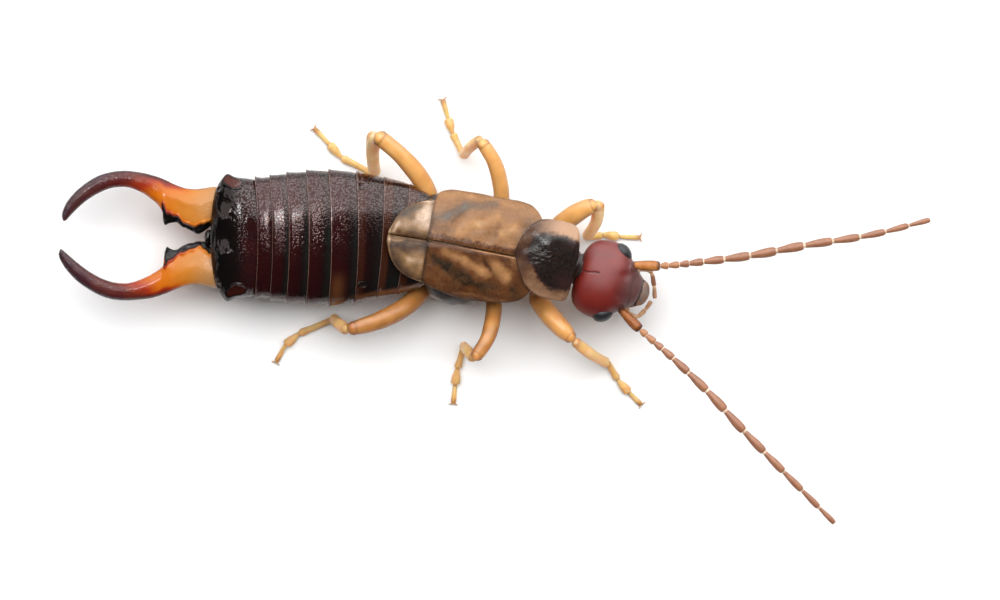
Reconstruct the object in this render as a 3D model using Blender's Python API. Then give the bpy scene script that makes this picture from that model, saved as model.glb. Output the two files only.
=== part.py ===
# Life-size male earwig, standing, with its head turned a little to its right.
# +X is towards the head, +Y the animal's left, +Z up. The floor is Z = 0 and the origin
# is under the middle of the box round the whole animal.
# Every size below is in millimetres; MM turns it into Blender's metres.

import math
from collections import namedtuple

import bmesh
import bpy
from mathutils import Matrix, Vector

MM = 0.001
GAP = 0.10              # clear space between two sub-parts that meet
UP = Vector((0, 0, 1))

# Body: the midline is straight along the abdomen and bends a little to the right at the waist.
ABDOMEN_Y = 2.17
WAIST_X = -2.90
WAIST_SLOPE = 0.155
WAIST_BLEND = 0.30
BODY_SQUARE = 2.6       # 2 is an ellipse, more is boxier
PLATE_SQUARE = 2.7      # the same, for the thickness of wings and pronotum across

# Where each abdominal segment ends, front to back, and the body's half width, top and underside there.
SEGMENT_X = (-1.35, -1.90, -2.52, -3.33, -4.11, -4.92, -5.59, -6.18, -6.68, -7.12)
SEGMENT_HALF_WIDTH = (1.05, 1.18, 1.52, 1.76, 1.88, 1.97, 1.98, 1.93, 1.84, 1.73)
SEGMENT_TOP = (2.10, 2.16, 2.18, 2.26, 2.42, 2.50, 2.52, 2.51, 2.48, 2.44)
SEGMENT_UNDERSIDE = (1.16, 1.12, 0.98, 0.80, 0.68, 0.64, 0.63, 0.65, 0.70, 0.76)
RIM = 0.04              # how far a segment's hind edge stands proud of the next one
SHOULDER = 0.11         # how much narrower its front edge is

# The large last segment: x, half width, top, underside.
LAST_SEGMENT = (
    (-7.12, 1.62, 2.38, 0.82),
    (-7.22, 1.72, 2.43, 0.78),
    (-7.60, 1.78, 2.45, 0.80),
    (-7.95, 1.80, 2.41, 0.86),
    (-8.20, 1.68, 2.30, 0.94),
    (-8.45, 1.46, 2.14, 1.02),
)
CORNER_BUMP = (-8.02, 1.70, 2.06, 0.24)     # x, offset from the midline, z, radius
DORSAL_BUMP = (-8.24, 0.78, 2.20, 0.26)

# Forceps: the outer and inner edge of one arm, as (distance behind its root, offset from the midline),
# with half its thickness.
ARM_ROOT_X = -8.55
ARM_Z = 1.55
ARM_STATIONS = (
    ((0.00, 1.50), (0.00, 0.52), 0.40),
    ((0.14, 1.47), (0.14, 0.42), 0.40),
    ((0.30, 1.44), (0.30, 0.30), 0.38),
    ((0.60, 1.41), (0.60, 0.30), 0.34),
    ((0.95, 1.48), (0.92, 0.42), 0.31),
    ((1.25, 1.62), (1.20, 0.58), 0.29),
    ((1.58, 1.78), (1.42, 0.86), 0.27),
    ((1.90, 1.88), (1.66, 1.13), 0.26),
    ((2.24, 1.94), (2.04, 1.37), 0.25),
    ((2.62, 1.95), (2.50, 1.46), 0.25),
    ((3.02, 1.87), (2.92, 1.41), 0.25),
    ((3.42, 1.72), (3.27, 1.30), 0.24),
    ((3.78, 1.50), (3.60, 1.11), 0.22),
    ((4.10, 1.22), (3.94, 0.90), 0.19),
    ((4.34, 0.92), (4.22, 0.72), 0.14),
    ((4.46, 0.68), (4.40, 0.60), 0.08),
)
ARM_TIP = (4.50, 0.46)
ARM_SAG = 0.18          # how much lower the middle of the bow is than its ends
ARM_SWING_DEG = {"left": 1.6, "right": -1.0}
KNOB_COUNT = 5          # crenulations along the inner edge of the broad root
KNOB_RADIUS = 0.12
TOOTH = ((1.26, 0.84), (1.38, 0.38), 0.17, 0.07)    # root, tip, radius at each

# Thorax under the wings, as x, half width, top, underside.
PROTHORAX = ((0.80, 0.78, 2.18, 1.20), (1.05, 0.90, 2.28, 1.08), (1.70, 0.88, 2.26, 1.10), (2.06, 0.60, 2.16, 1.30))
MESOTHORAX = ((-0.22, 1.28, 2.34, 1.02), (0.25, 1.26, 2.34, 1.00), (0.70, 1.00, 2.24, 1.12))
METATHORAX = ((-1.25, 1.40, 2.20, 1.04), (-1.05, 1.54, 2.26, 0.98), (-0.70, 1.46, 2.34, 0.98), (-0.32, 1.30, 2.34, 1.00))

# Folded fore wings (tegmina) and the tips of the hind wings, in the thorax's own frame:
# forward, then outer edge from the seam.
THORAX_PLACE = ((-0.40, 1.78, 0.0), -9.0)
SEAM_HALF = 0.05
TEGMEN = (
    (-1.66, 1.16), (-1.60, 1.34), (-1.46, 1.50), (-1.15, 1.58), (-0.60, 1.60), (0.00, 1.58),
    (0.55, 1.58), (0.95, 1.52), (1.25, 1.36), (1.48, 1.08), (1.60, 0.80),
)
TEGMEN_Z = 2.70
TEGMEN_DROP = 0.50      # how much lower its outer edge is
TEGMEN_HALF_THICK = 0.25
HIND_WING = (
    (-1.50, 1.24), (-1.80, 1.22), (-2.10, 1.10), (-2.36, 0.92), (-2.58, 0.68), (-2.72, 0.44), (-2.79, 0.24),
)
HIND_WING_Z = 2.60
HIND_WING_DROP = 0.26
HIND_WING_HALF_THICK = 0.22

# Pronotum, in its own frame: forward, half width.
PRONOTUM_PLACE = ((1.50, 1.48, 0.0), -14.0)
PRONOTUM = (
    (-0.93, 0.20), (-0.89, 0.48), (-0.76, 0.76), (-0.52, 0.98), (-0.20, 1.12), (0.20, 1.17),
    (0.55, 1.14), (0.78, 1.07), (0.84, 1.00),
)
PRONOTUM_Z = 2.64
PRONOTUM_DROP = 0.22
PRONOTUM_HALF_THICK = 0.24

# Head, in its own frame: forward, half width, height above and depth below its centre.
HEAD_PLACE = ((3.52, 0.82, 1.86), -18.5)
HEAD = (
    (-1.05, 0.42, 0.20, 0.18), (-1.07, 0.70, 0.34, 0.30), (-0.90, 1.02, 0.50, 0.42),
    (-0.58, 1.17, 0.62, 0.46), (-0.22, 1.17, 0.66, 0.47), (0.08, 1.04, 0.63, 0.46),
    (0.30, 0.86, 0.56, 0.44), (0.50, 0.70, 0.46, 0.40), (0.68, 0.56, 0.34, 0.34),
    (0.80, 0.47, 0.24, 0.26),
)
HEAD_ENDS = (-1.00, 0.82)
EYE = ((0.04, 0.98, 0.10), (0.29, 0.22, 0.28), 36.0)   # centre, half sizes, how far its front turns in
LABRUM = ((0.80, 0.40), (0.92, 0.41), (1.02, 0.35), (1.08, 0.24))
LABRUM_HALF_THICK = 0.13
MANDIBLE = ((0.66, 0.40, -0.28), (0.96, 0.34, -0.34), (1.12, 0.14, -0.36))
MANDIBLE_RADII = (0.17, 0.15, 0.07)
NECK = ((1.95, 1.42, 1.74), (3.10, 0.96, 1.82))
NECK_RADIUS = 0.46

PALPS = {
    "left": ((3.90, 1.08, 1.40), (4.32, 1.34, 1.20), (4.68, 1.24, 1.10), (4.78, 0.92, 1.08), (4.80, 0.54, 1.10)),
    "right": ((3.70, 0.22, 1.40), (3.98, -0.20, 1.20), (4.28, -0.24, 1.10), (4.50, -0.04, 1.08), (4.64, 0.20, 1.10)),
}
PALP_RADII = (0.20, 0.22, 0.20, 0.21, 0.12)

# Antennae: the scape's path, then the lengths of the thirteen articles that follow it along a route.
SCAPES = {
    "left": ((4.02, 1.36, 1.88), (4.50, 1.31, 1.98), (4.98, 1.29, 2.06)),
    "right": ((3.66, 0.10, 1.88), (4.02, -0.26, 1.98), (4.36, -0.60, 2.06)),
}
SCAPE_RADII = (0.22, 0.27, 0.24)
ROUTES = {
    "left": (
        (4.98, 1.29, 2.06), (6.28, 1.43, 2.22), (7.65, 1.63, 2.36), (9.26, 1.93, 2.42), (11.30, 2.27, 2.34),
        (13.03, 2.72, 2.16),
    ),
    "right": (
        (4.36, -0.60, 2.06), (5.34, -1.46, 2.22), (6.33, -2.41, 2.36), (7.43, -3.61, 2.42), (8.90, -5.12, 2.34),
        (10.18, -6.39, 2.16),
    ),
}
ARTICLES = (0.24, 0.33, 0.29, 0.43, 0.62, 0.77, 0.80, 0.83, 0.86, 0.82, 0.78, 0.72, 0.68)
ARTICLE_RADII = (0.22, 0.23, 0.24, 0.25, 0.26, 0.27, 0.27, 0.27, 0.27, 0.26, 0.25, 0.24, 0.20)
ARTICLE_SHAPE = ((0.08, 0.72), (0.70, 1.00), (0.94, 0.78))   # share of length, share of radius

# Legs. coxa: root and end. femur, tibia and tarsus: where they run. Feet lie flat on the floor.
LEGS = {
    "front_left": {
        "coxa": ((1.50, 1.72, 1.22), (1.72, 2.30, 0.78)),
        "femur": ((1.72, 2.30, 0.78), (2.06, 2.66, 1.28), (2.56, 3.00, 1.68), (3.03, 3.20, 1.86)),
        "tibia": ((3.03, 3.20, 1.86), (3.00, 2.68, 1.14), (2.82, 2.16, 0.42)),
        "tarsus": ((2.82, 2.16), (3.37, 2.26), (3.80, 2.20), (4.36, 2.18)),
        "stout": 0.33,
    },
    "front_right": {
        "coxa": ((1.42, 1.14, 1.22), (1.18, 0.60, 0.78)),
        "femur": ((1.18, 0.60, 0.78), (1.46, 0.08, 1.26), (1.90, -0.44, 1.58), (2.36, -0.92, 1.74)),
        "tibia": ((2.36, -0.92, 1.74), (2.90, -1.30, 1.14), (3.36, -1.60, 0.46)),
        "tarsus": ((3.36, -1.60), (3.73, -2.20), (4.06, -2.55), (4.37, -2.84)),
        "stout": 0.33,
    },
    "mid_left": {
        "coxa": ((0.05, 2.15, 1.20), (0.22, 2.90, 0.74)),
        "femur": ((0.22, 2.90, 0.74), (0.26, 3.62, 1.38), (0.06, 4.42, 1.82), (-0.38, 5.08, 1.98)),
        "tibia": ((-0.38, 5.08, 1.98), (-0.68, 4.84, 1.22), (-0.94, 4.64, 0.42)),
        "tarsus": ((-0.94, 4.64), (-1.31, 5.40), (-1.42, 5.80), (-1.55, 6.30)),
        "stout": 0.25,
    },
    "mid_right": {
        "coxa": ((0.04, 1.28, 1.20), (-0.02, 0.56, 0.74)),
        "femur": ((-0.02, 0.56, 0.74), (-0.02, -0.14, 1.40), (-0.20, -0.84, 1.82), (-0.61, -1.44, 1.96)),
        "tibia": ((-0.61, -1.44, 1.96), (-0.80, -1.26, 1.20), (-0.94, -1.12, 0.42)),
        "tarsus": ((-0.94, -1.12), (-1.13, -1.86), (-1.19, -2.31), (-1.24, -2.78)),
        "stout": 0.25,
    },
    "hind_left": {
        "coxa": ((-1.05, 2.20, 1.15), (-1.84, 2.88, 0.68)),
        "femur": ((-1.84, 2.88, 0.68), (-2.06, 3.76, 1.36), (-2.72, 4.62, 1.84), (-3.53, 5.24, 2.02)),
        "tibia": ((-3.53, 5.24, 2.02), (-3.60, 4.68, 1.24), (-3.60, 4.12, 0.42)),
        "tarsus": ((-3.60, 4.12), (-4.69, 4.63), (-5.03, 5.01), (-5.45, 5.43)),
        "stout": 0.33,
    },
    "hind_right": {
        "coxa": ((-1.15, 1.62, 1.15), (-1.94, 0.96, 0.68)),
        "femur": ((-1.94, 0.96, 0.68), (-2.58, 0.18, 1.36), (-3.48, -0.32, 1.80), (-4.42, -0.60, 1.98)),
        "tibia": ((-4.42, -0.60, 1.98), (-4.68, -0.42, 1.22), (-4.86, -0.26, 0.42)),
        "tarsus": ((-4.86, -0.26), (-5.97, -0.72), (-6.34, -1.05), (-6.56, -1.52)),
        "stout": 0.33,
    },
}
COXA_RADII = (0.42, 0.32)
TIBIA_RADII = (0.24, 0.25, 0.25)
TARSUS_RADII = (0.25, 0.24, 0.27, 0.16)
SOLE_CUT = 0.03         # how far the floor cuts into a foot's round underside
CLAW_REACH = 0.26
CLAW_RADII = (0.09, 0.07, 0.035)

MAROON = (0.085, 0.016, 0.013, 1)
BLACK = (0.020, 0.017, 0.016, 1)
RED = (0.240, 0.030, 0.020, 1)
AMBER = (0.620, 0.290, 0.075, 1)
BRONZE = (0.420, 0.230, 0.105, 1)
RUST = (0.500, 0.150, 0.025, 1)
UMBER = (0.300, 0.125, 0.055, 1)
PALE = (0.640, 0.440, 0.260, 1)
SLATE = (0.030, 0.033, 0.035, 1)

Section = namedtuple("Section", "at side up left right top bottom")


def clear_scene():
    for obj in list(bpy.data.objects):
        bpy.data.objects.remove(obj)
    for collection in list(bpy.data.collections):
        bpy.data.collections.remove(collection)


def material(name, colour, roughness):
    made = bpy.data.materials.new(name)
    made.use_nodes = True
    shader = made.node_tree.nodes["Principled BSDF"]
    shader.inputs["Base Color"].default_value = colour
    shader.inputs["Roughness"].default_value = roughness
    shader.inputs["Metallic"].default_value = 0.0
    made.diffuse_color = colour
    return made


def node(name, mesh, finish, collection, parent):
    """One named sub-part: the mesh in metres, its origin at its own middle."""
    mesh.transform(Matrix.Scale(MM, 4))
    middle = sum((v.co for v in mesh.vertices), Vector()) / len(mesh.vertices)
    mesh.transform(Matrix.Translation(-middle))
    mesh.shade_smooth()
    mesh.set_sharp_from_angle(angle=math.radians(40))
    mesh.materials.clear()
    mesh.materials.append(finish)
    obj = bpy.data.objects.new(name, mesh)
    obj.location = middle
    obj.parent = parent
    collection.objects.link(obj)
    return obj


def midline_y(x):
    """The body's midline seen from above: straight, then a smooth bend at the waist."""
    return ABDOMEN_Y - WAIST_SLOPE * WAIST_BLEND * math.log1p(math.exp((x - WAIST_X) / WAIST_BLEND))


def body_frame(place, turn_deg=None):
    """Matrix of a sub-part's own frame: x forward, y to the animal's left, z up."""
    origin, yaw = place
    return Matrix.Translation(Vector(origin)) @ Matrix.Rotation(math.radians(turn_deg or yaw), 4, "Z")


def superellipse(angle, square):
    """Unit superellipse point; square 2 gives a circle."""
    c, s = math.cos(angle), math.sin(angle)
    power = 2.0 / square
    return math.copysign(abs(c) ** power, c), math.copysign(abs(s) ** power, s)


def outward_mesh(bm):
    """A mesh from a closed surface, with every face turned outwards."""
    if bm.calc_volume(signed=True) < 0:
        bmesh.ops.reverse_faces(bm, faces=bm.faces)
    mesh = bpy.data.meshes.new("piece")
    bm.to_mesh(mesh)
    bm.free()
    return mesh


def wrapped(sections, ends, around, square=2.0):
    """A closed mesh: a UV sphere whose rings move out to the sections, and whose poles move to the two ends."""
    rings = len(sections) + 1
    bm = bmesh.new()
    bmesh.ops.create_uvsphere(bm, u_segments=around, v_segments=rings, radius=1.0)
    for vert in bm.verts:
        ring = round(math.acos(max(-1.0, min(1.0, -vert.co.z))) / math.pi * rings)
        if ring in (0, rings):
            vert.co = ends[0] if ring == 0 else ends[1]
            continue
        part = sections[ring - 1]
        across, high = superellipse(math.atan2(vert.co.y, vert.co.x), square)
        wide = part.left if across > 0 else part.right
        tall = part.top if high > 0 else part.bottom
        vert.co = part.at + part.side * across * wide + part.up * high * tall
    return outward_mesh(bm)


def trunk(stations, around=24, grow=0.0, square=BODY_SQUARE):
    """A length of the body: stations of x, half width, top and underside, with flat ends."""
    sections = []
    for index, (x, half, top, under) in enumerate(stations):
        last = len(stations) - 1
        x += grow * (index == 0) * math.copysign(1, stations[0][0] - stations[-1][0])
        x -= grow * (index == last) * math.copysign(1, stations[0][0] - stations[-1][0])
        slope = (midline_y(x + 0.01) - midline_y(x - 0.01)) / 0.02
        side = Vector((-slope, 1, 0)).normalized()
        at = Vector((x, midline_y(x), (top + under) / 2))
        tall = (top - under) / 2 + grow
        sections.append(Section(at, side, UP, half + grow, half + grow, tall, tall))
    return wrapped(sections, (sections[0].at, sections[-1].at), around, square)


def smooth_path(points, radii, steps):
    """Catmull-Rom samples through the points, each with its radius."""
    points = [Vector(p) for p in points]
    samples = []
    for i in range(len(points) - 1):
        before = points[max(i - 1, 0)]
        after = points[min(i + 2, len(points) - 1)]
        for k in range(steps):
            t = k / steps
            a, b = points[i], points[i + 1]
            at = 0.5 * (
                2 * a + (b - before) * t + (2 * before - 5 * a + 4 * b - after) * t * t
                + (3 * a - before - 3 * b + after) * t * t * t
            )
            samples.append((at, radii[i] + (radii[i + 1] - radii[i]) * t))
    samples.append((points[-1], radii[-1]))
    return samples


def tube(samples, around=8, grow=0.0, flat=1.0):
    """A limb: rings along the samples, its two ends rounded off. flat squeezes it in height."""
    count = len(samples)
    tangents = [
        (samples[min(i + 1, count - 1)][0] - samples[max(i - 1, 0)][0]).normalized() for i in range(count)
    ]
    side = tangents[0].cross(UP)
    side = side.normalized() if side.length > 0.05 else Vector((0, 1, 0))
    sections = []
    for i, (at, radius) in enumerate(samples):
        side = (side - tangents[i] * side.dot(tangents[i])).normalized()
        up = side.cross(tangents[i]).normalized()
        wide = radius + grow
        if i in (0, count - 1):
            # Two narrower rings round the end off, and the pole closes it.
            inward = tangents[i] * wide * (1 if i == 0 else -1)
            caps = [(0.14, 0.52), (0.50, 0.87)]
            start = at - inward * (grow / wide)
            rounded = [
                Section(start + inward * along, side, up, wide * share, wide * share, wide * share * flat, wide * share * flat)
                for along, share in caps
            ]
            full = Section(start + inward, side, up, wide, wide, wide * flat, wide * flat)
            sections += rounded + [full] if i == 0 else [full] + rounded[::-1]
            continue
        sections.append(Section(at, side, up, wide, wide, wide * flat, wide * flat))
    sections = in_order(sections, tangents)
    ends = (
        samples[0][0] - tangents[0] * grow,
        samples[-1][0] + tangents[-1] * grow,
    )
    return wrapped(sections, ends, around)


def in_order(sections, tangents):
    """Drops rings that the rounded ends have passed, so that no wall folds back."""
    kept = sections[:3]
    for part in sections[3:-3]:
        if (part.at - kept[2].at).dot(tangents[0]) > 0.02 and (sections[-3].at - part.at).dot(tangents[-1]) > 0.02:
            kept.append(part)
    return kept + sections[-3:]


def limb(points, radii, steps=2, around=8, grow=0.0, flat=1.0):
    return tube(smooth_path(points, radii, steps), around, grow, flat)


def blob(at, half_sizes, turn_deg=0.0, frame=None, grow=0.0, around=12, rings=8):
    """An ellipsoid, turned about Z inside its frame."""
    bm = bmesh.new()
    bmesh.ops.create_uvsphere(bm, u_segments=around, v_segments=rings, radius=1.0)
    sizes = [size + grow for size in half_sizes]
    place = Matrix.Translation(Vector(at)) @ Matrix.Rotation(math.radians(turn_deg), 4, "Z")
    place = (frame or Matrix.Identity(4)) @ place @ Matrix.Diagonal((*sizes, 1.0))
    bmesh.ops.transform(bm, matrix=place, verts=bm.verts)
    return outward_mesh(bm)


def plate(stations, inner, frame, z, drop, half_thick, sign=1, grow=0.0, around=14, power=4.0, slope=0.0):
    """A thin arched plate: stations of forward and outer edge; inner is its inner edge, or None for both sides alike."""
    sections = []
    reach = max(edge for _, edge in stations)
    for index, (forward, edge) in enumerate(stations):
        if index in (0, len(stations) - 1):
            forward += math.copysign(grow, forward - stations[len(stations) // 2][0])
        low = -edge if inner is None else inner
        sections.append((forward, low - grow, edge + grow))
    rings = len(sections) + 1
    bm = bmesh.new()
    bmesh.ops.create_uvsphere(bm, u_segments=around, v_segments=rings, radius=1.0)
    thick = half_thick + grow
    for vert in bm.verts:
        ring = round(math.acos(max(-1.0, min(1.0, -vert.co.z))) / math.pi * rings)
        pole = ring in (0, rings)
        forward, low, high = sections[min(max(ring - 1, 0), len(sections) - 1)]
        across, rise = (0.0, 0.0) if pole else superellipse(math.atan2(vert.co.y, vert.co.x), PLATE_SQUARE)
        lateral = (low + high) / 2 + across * (high - low) / 2
        arch = drop * min(abs(lateral) / reach, 1.1) ** power
        height = z + slope * forward - arch + rise * thick
        vert.co = frame @ Vector((forward, sign * lateral, height))
    return outward_mesh(bm)


def boolean(mesh, others, operation):
    """The mesh joined with, or cut by, the other closed meshes."""
    base = bpy.data.objects.new("base", mesh)
    bpy.context.scene.collection.objects.link(base)
    operands = bpy.data.collections.new("operands")
    bpy.context.scene.collection.children.link(operands)
    for other in others:
        operands.objects.link(bpy.data.objects.new("operand", other))
    modifier = base.modifiers.new("boolean", "BOOLEAN")
    modifier.operation = operation
    modifier.operand_type = "COLLECTION"
    modifier.collection = operands
    modifier.solver = "EXACT"
    graph = bpy.context.evaluated_depsgraph_get()
    made = bpy.data.meshes.new_from_object(base.evaluated_get(graph))
    for obj in [base, *operands.objects]:
        bpy.data.objects.remove(obj)
    bpy.data.collections.remove(operands)
    return largest_shell(made)


def largest_shell(mesh):
    """Keeps only the closed surface that holds the most."""
    bm = bmesh.new()
    bm.from_mesh(mesh)
    bmesh.ops.remove_doubles(bm, verts=bm.verts, dist=1e-5)
    left = set(bm.faces)
    shells = []
    while left:
        shell = [left.pop()]
        for face in shell:
            for edge in face.edges:
                for beside in edge.link_faces:
                    if beside in left:
                        left.remove(beside)
                        shell.append(beside)
        shells.append(shell)

    def held(shell):
        return abs(sum(face.calc_center_median().dot(face.normal) * face.calc_area() for face in shell))

    shells.sort(key=held)
    for shell in shells[:-1]:
        bmesh.ops.delete(bm, geom=shell, context="FACES")
    bm.to_mesh(mesh)
    bm.free()
    return mesh


def carved(mesh, *cutters):
    for cutter in cutters:
        mesh = boolean(mesh, [cutter], "DIFFERENCE")
    return mesh


def fused(mesh, *pieces):
    return boolean(mesh, pieces, "UNION")


def floor_block():
    """What lies under the floor, for cutting the soles flat."""
    bm = bmesh.new()
    bmesh.ops.create_cube(bm, size=40.0)
    bmesh.ops.translate(bm, verts=bm.verts, vec=(0, 0, -20.0))
    return outward_mesh(bm)


def head_mesh(grow=0.0):
    frame = body_frame(HEAD_PLACE)
    turn = frame.to_3x3()
    sections = []
    for index, (forward, half, top, bottom) in enumerate(HEAD):
        ahead = forward + grow * ((index == len(HEAD) - 1) - (index <= 1))
        at = frame @ Vector((ahead, 0, 0))
        sections.append(Section(at, turn @ Vector((0, 1, 0)), UP, half + grow, half + grow, top + grow, bottom + grow))
    ends = [frame @ Vector((end + math.copysign(grow, end), 0, 0)) for end in HEAD_ENDS]
    return wrapped(sections, ends, 22, 2.15)


def eye_mesh(sign, grow=0.0):
    at, sizes, turn = EYE
    return blob((at[0], sign * at[1], at[2]), sizes, -sign * turn, body_frame(HEAD_PLACE), grow)


def labrum_mesh(grow=0.0):
    return plate(LABRUM, None, body_frame(HEAD_PLACE), 0.06, 0.06, LABRUM_HALF_THICK, grow=grow)


def mandible_mesh(sign):
    frame = body_frame(HEAD_PLACE)
    return limb([frame @ Vector((x, sign * y, z)) for x, y, z in MANDIBLE], MANDIBLE_RADII)


def pronotum_mesh(grow=0.0, taller=0.0):
    frame = body_frame(PRONOTUM_PLACE)
    thick = PRONOTUM_HALF_THICK + taller
    return plate(PRONOTUM, None, frame, PRONOTUM_Z, PRONOTUM_DROP, thick, grow=grow, around=20, power=3.0)


def tegmen_mesh(sign, grow=0.0):
    frame = body_frame(THORAX_PLACE)
    return plate(TEGMEN, SEAM_HALF, frame, TEGMEN_Z, TEGMEN_DROP, TEGMEN_HALF_THICK, sign, grow, 16)


def hind_wing_mesh(sign):
    frame = body_frame(THORAX_PLACE)
    return plate(
        HIND_WING, SEAM_HALF, frame, HIND_WING_Z, HIND_WING_DROP, HIND_WING_HALF_THICK, sign, power=3.0, slope=0.04
    )


def segment_mesh(index, grow=0.0):
    """Rings of one abdominal segment: a narrow shoulder in front and a proud rim behind."""
    def between(values, share):
        return values[index] + (values[index + 1] - values[index]) * share
    front, back = SEGMENT_X[index] - GAP / 2, SEGMENT_X[index + 1] + GAP / 2
    stations = []
    for share, step in ((0.0, -SHOULDER), (0.16, -0.02), (0.62, 0.0), (1.0, RIM)):
        stations.append((
            front + (back - front) * share,
            between(SEGMENT_HALF_WIDTH, share) + step,
            between(SEGMENT_TOP, share) + step,
            between(SEGMENT_UNDERSIDE, share) - step,
        ))
    return trunk(stations, grow=grow)


def last_segment_mesh():
    first = LAST_SEGMENT[0]
    stations = ((first[0] - GAP / 2, *first[1:]), *LAST_SEGMENT[1:])
    body = trunk(stations)
    bumps = []
    for sign in (1, -1):
        x, off, z, radius = CORNER_BUMP
        bumps.append(blob((x, ABDOMEN_Y + sign * off, z), (radius, radius * 0.8, radius), around=10, rings=6))
        x, off, z, radius = DORSAL_BUMP
        bumps.append(blob((x, ABDOMEN_Y + sign * off, z), (radius * 0.7, radius * 1.4, radius * 0.6), around=10, rings=6))
    return fused(body, *bumps)


def arm_point(side, behind, off, z):
    """A point of one arm of the forceps, swung a little about its root."""
    sign = 1 if side == "left" else -1
    swing = math.radians(ARM_SWING_DEG[side])
    off_root = off - 0.95
    return Vector((
        ARM_ROOT_X - behind * math.cos(swing) + off_root * math.sin(swing),
        ABDOMEN_Y + sign * (0.95 + off_root * math.cos(swing) + behind * math.sin(swing)),
        z,
    ))


def arm_height(behind):
    share = behind / ARM_TIP[0]
    return ARM_Z - ARM_SAG * math.sin(math.pi * share)


def arm_mesh(side, grow=0.0, detailed=True):
    sections = []
    for outer, inner, half in ARM_STATIONS:
        out_point = arm_point(side, *outer, arm_height(outer[0]))
        in_point = arm_point(side, *inner, arm_height(inner[0]))
        reach = (out_point - in_point) / 2
        wide = reach.length + grow
        at = (out_point + in_point) / 2
        sections.append(Section(at, reach.normalized(), UP, wide, wide, half + grow, half + grow))
    root = sections[0].at + Vector((grow, 0, 0))
    sections[0] = sections[0]._replace(at=root)
    tip = arm_point(side, *ARM_TIP, arm_height(ARM_TIP[0]))
    arm = wrapped(sections, (root, tip), 12, 2.2)
    if not detailed:
        return arm
    knobs = []
    for k in range(KNOB_COUNT):
        share = k / (KNOB_COUNT - 1)
        behind = 0.36 + 0.86 * share
        off = 0.27 + 0.34 * max(share - 0.35, 0) / 0.65
        size = KNOB_RADIUS * (1.15 - 0.3 * abs(2 * share - 1))
        at = arm_point(side, behind, off, arm_height(behind) + 0.04)
        knobs.append(blob(at, (size, size, size * 1.3), around=6, rings=4))
    root_at, tip_at, root_radius, tip_radius = TOOTH
    tooth = limb(
        (arm_point(side, *root_at, arm_height(root_at[0])), arm_point(side, *tip_at, arm_height(tip_at[0]) + 0.05)),
        (root_radius, tip_radius), around=6,
    )
    return fused(arm, tooth, *knobs)


def pygidium_mesh():
    at = Vector((ARM_ROOT_X - 0.12, ABDOMEN_Y, ARM_Z))
    body = blob(at, (0.30, 0.26, 0.24))
    cutter = trunk(((ARM_ROOT_X + 1.0, 3, 4, 0), (ARM_ROOT_X, 3, 4, 0)))
    return carved(body, cutter, arm_mesh("left", GAP, False), arm_mesh("right", GAP, False))


def scape_mesh(side, grow=0.0):
    return limb(SCAPES[side], SCAPE_RADII, grow=grow)


def flagellum_mesh(side):
    """Thirteen articles along the route, each narrow at its root and widest past its middle."""
    fine = smooth_path(ROUTES[side], (1,) * len(ROUTES[side]), 24)
    lengths = [0.0]
    for i in range(1, len(fine)):
        lengths.append(lengths[-1] + (fine[i][0] - fine[i - 1][0]).length)
    stretch = lengths[-1] / sum(ARTICLES)

    def at_length(goal):
        for i in range(1, len(fine)):
            if lengths[i] >= goal:
                share = (goal - lengths[i - 1]) / (lengths[i] - lengths[i - 1])
                return fine[i - 1][0].lerp(fine[i][0], share)
        return fine[-1][0].copy()

    samples, done = [], 0.0
    for number, (length, radius) in enumerate(zip(ARTICLES, ARTICLE_RADII)):
        shape = ARTICLE_SHAPE if number < len(ARTICLES) - 1 else ((0.08, 0.72), (0.55, 1.0), (1.0, 0.45))
        for along, share in shape:
            samples.append((at_length((done + along * length) * stretch), radius * share))
        done += length
    return carved(tube(samples), scape_mesh(side, GAP))


def coxa_mesh(leg, grow=0.0):
    return limb(LEGS[leg]["coxa"], COXA_RADII, around=10, grow=grow)


def femur_mesh(leg, grow=0.0):
    stout = LEGS[leg]["stout"]
    return limb(LEGS[leg]["femur"], (stout * 0.82, stout, stout * 0.94, 0.26), around=10, grow=grow)


def tibia_mesh(leg, grow=0.0):
    return limb(LEGS[leg]["tibia"], TIBIA_RADII, grow=grow)


def tarsus_mesh(leg):
    """Three tarsal joints and a pair of claws, with a sole cut flat by the floor."""
    points = [Vector((x, y, radius - SOLE_CUT)) for (x, y), radius in zip(LEGS[leg]["tarsus"], TARSUS_RADII)]
    (a, b, c, d), (ra, rb, rc, rd) = points, TARSUS_RADII
    samples = [
        (a, ra), (a.lerp(b, 0.33), ra), (a.lerp(b, 0.66), rb), (b, rb * 0.84), (b.lerp(c, 0.35), rc),
        (b.lerp(c, 0.75), rc * 1.04), (c, rc * 0.80), (c.lerp(d, 0.4), rd * 1.25), (c.lerp(d, 0.7), rd * 1.15), (d, rd),
    ]
    samples = [(Vector((at.x, at.y, radius - SOLE_CUT)), radius) for at, radius in samples]
    ahead = (d - c).normalized()
    across = ahead.cross(UP).normalized()
    claws = []
    for sign in (1, -1):
        root = d - ahead * 0.10
        bend = d + ahead * 0.04 + across * sign * CLAW_REACH * 0.45
        tip = d + ahead * 0.10 + across * sign * CLAW_REACH
        claws.append(limb(
            [Vector((p.x, p.y, z)) for p, z in ((root, 0.12), (bend, 0.13), (tip, 0.05))],
            CLAW_RADII, steps=1, around=6,
        ))
    return carved(fused(tube(samples), *claws), floor_block())


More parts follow.
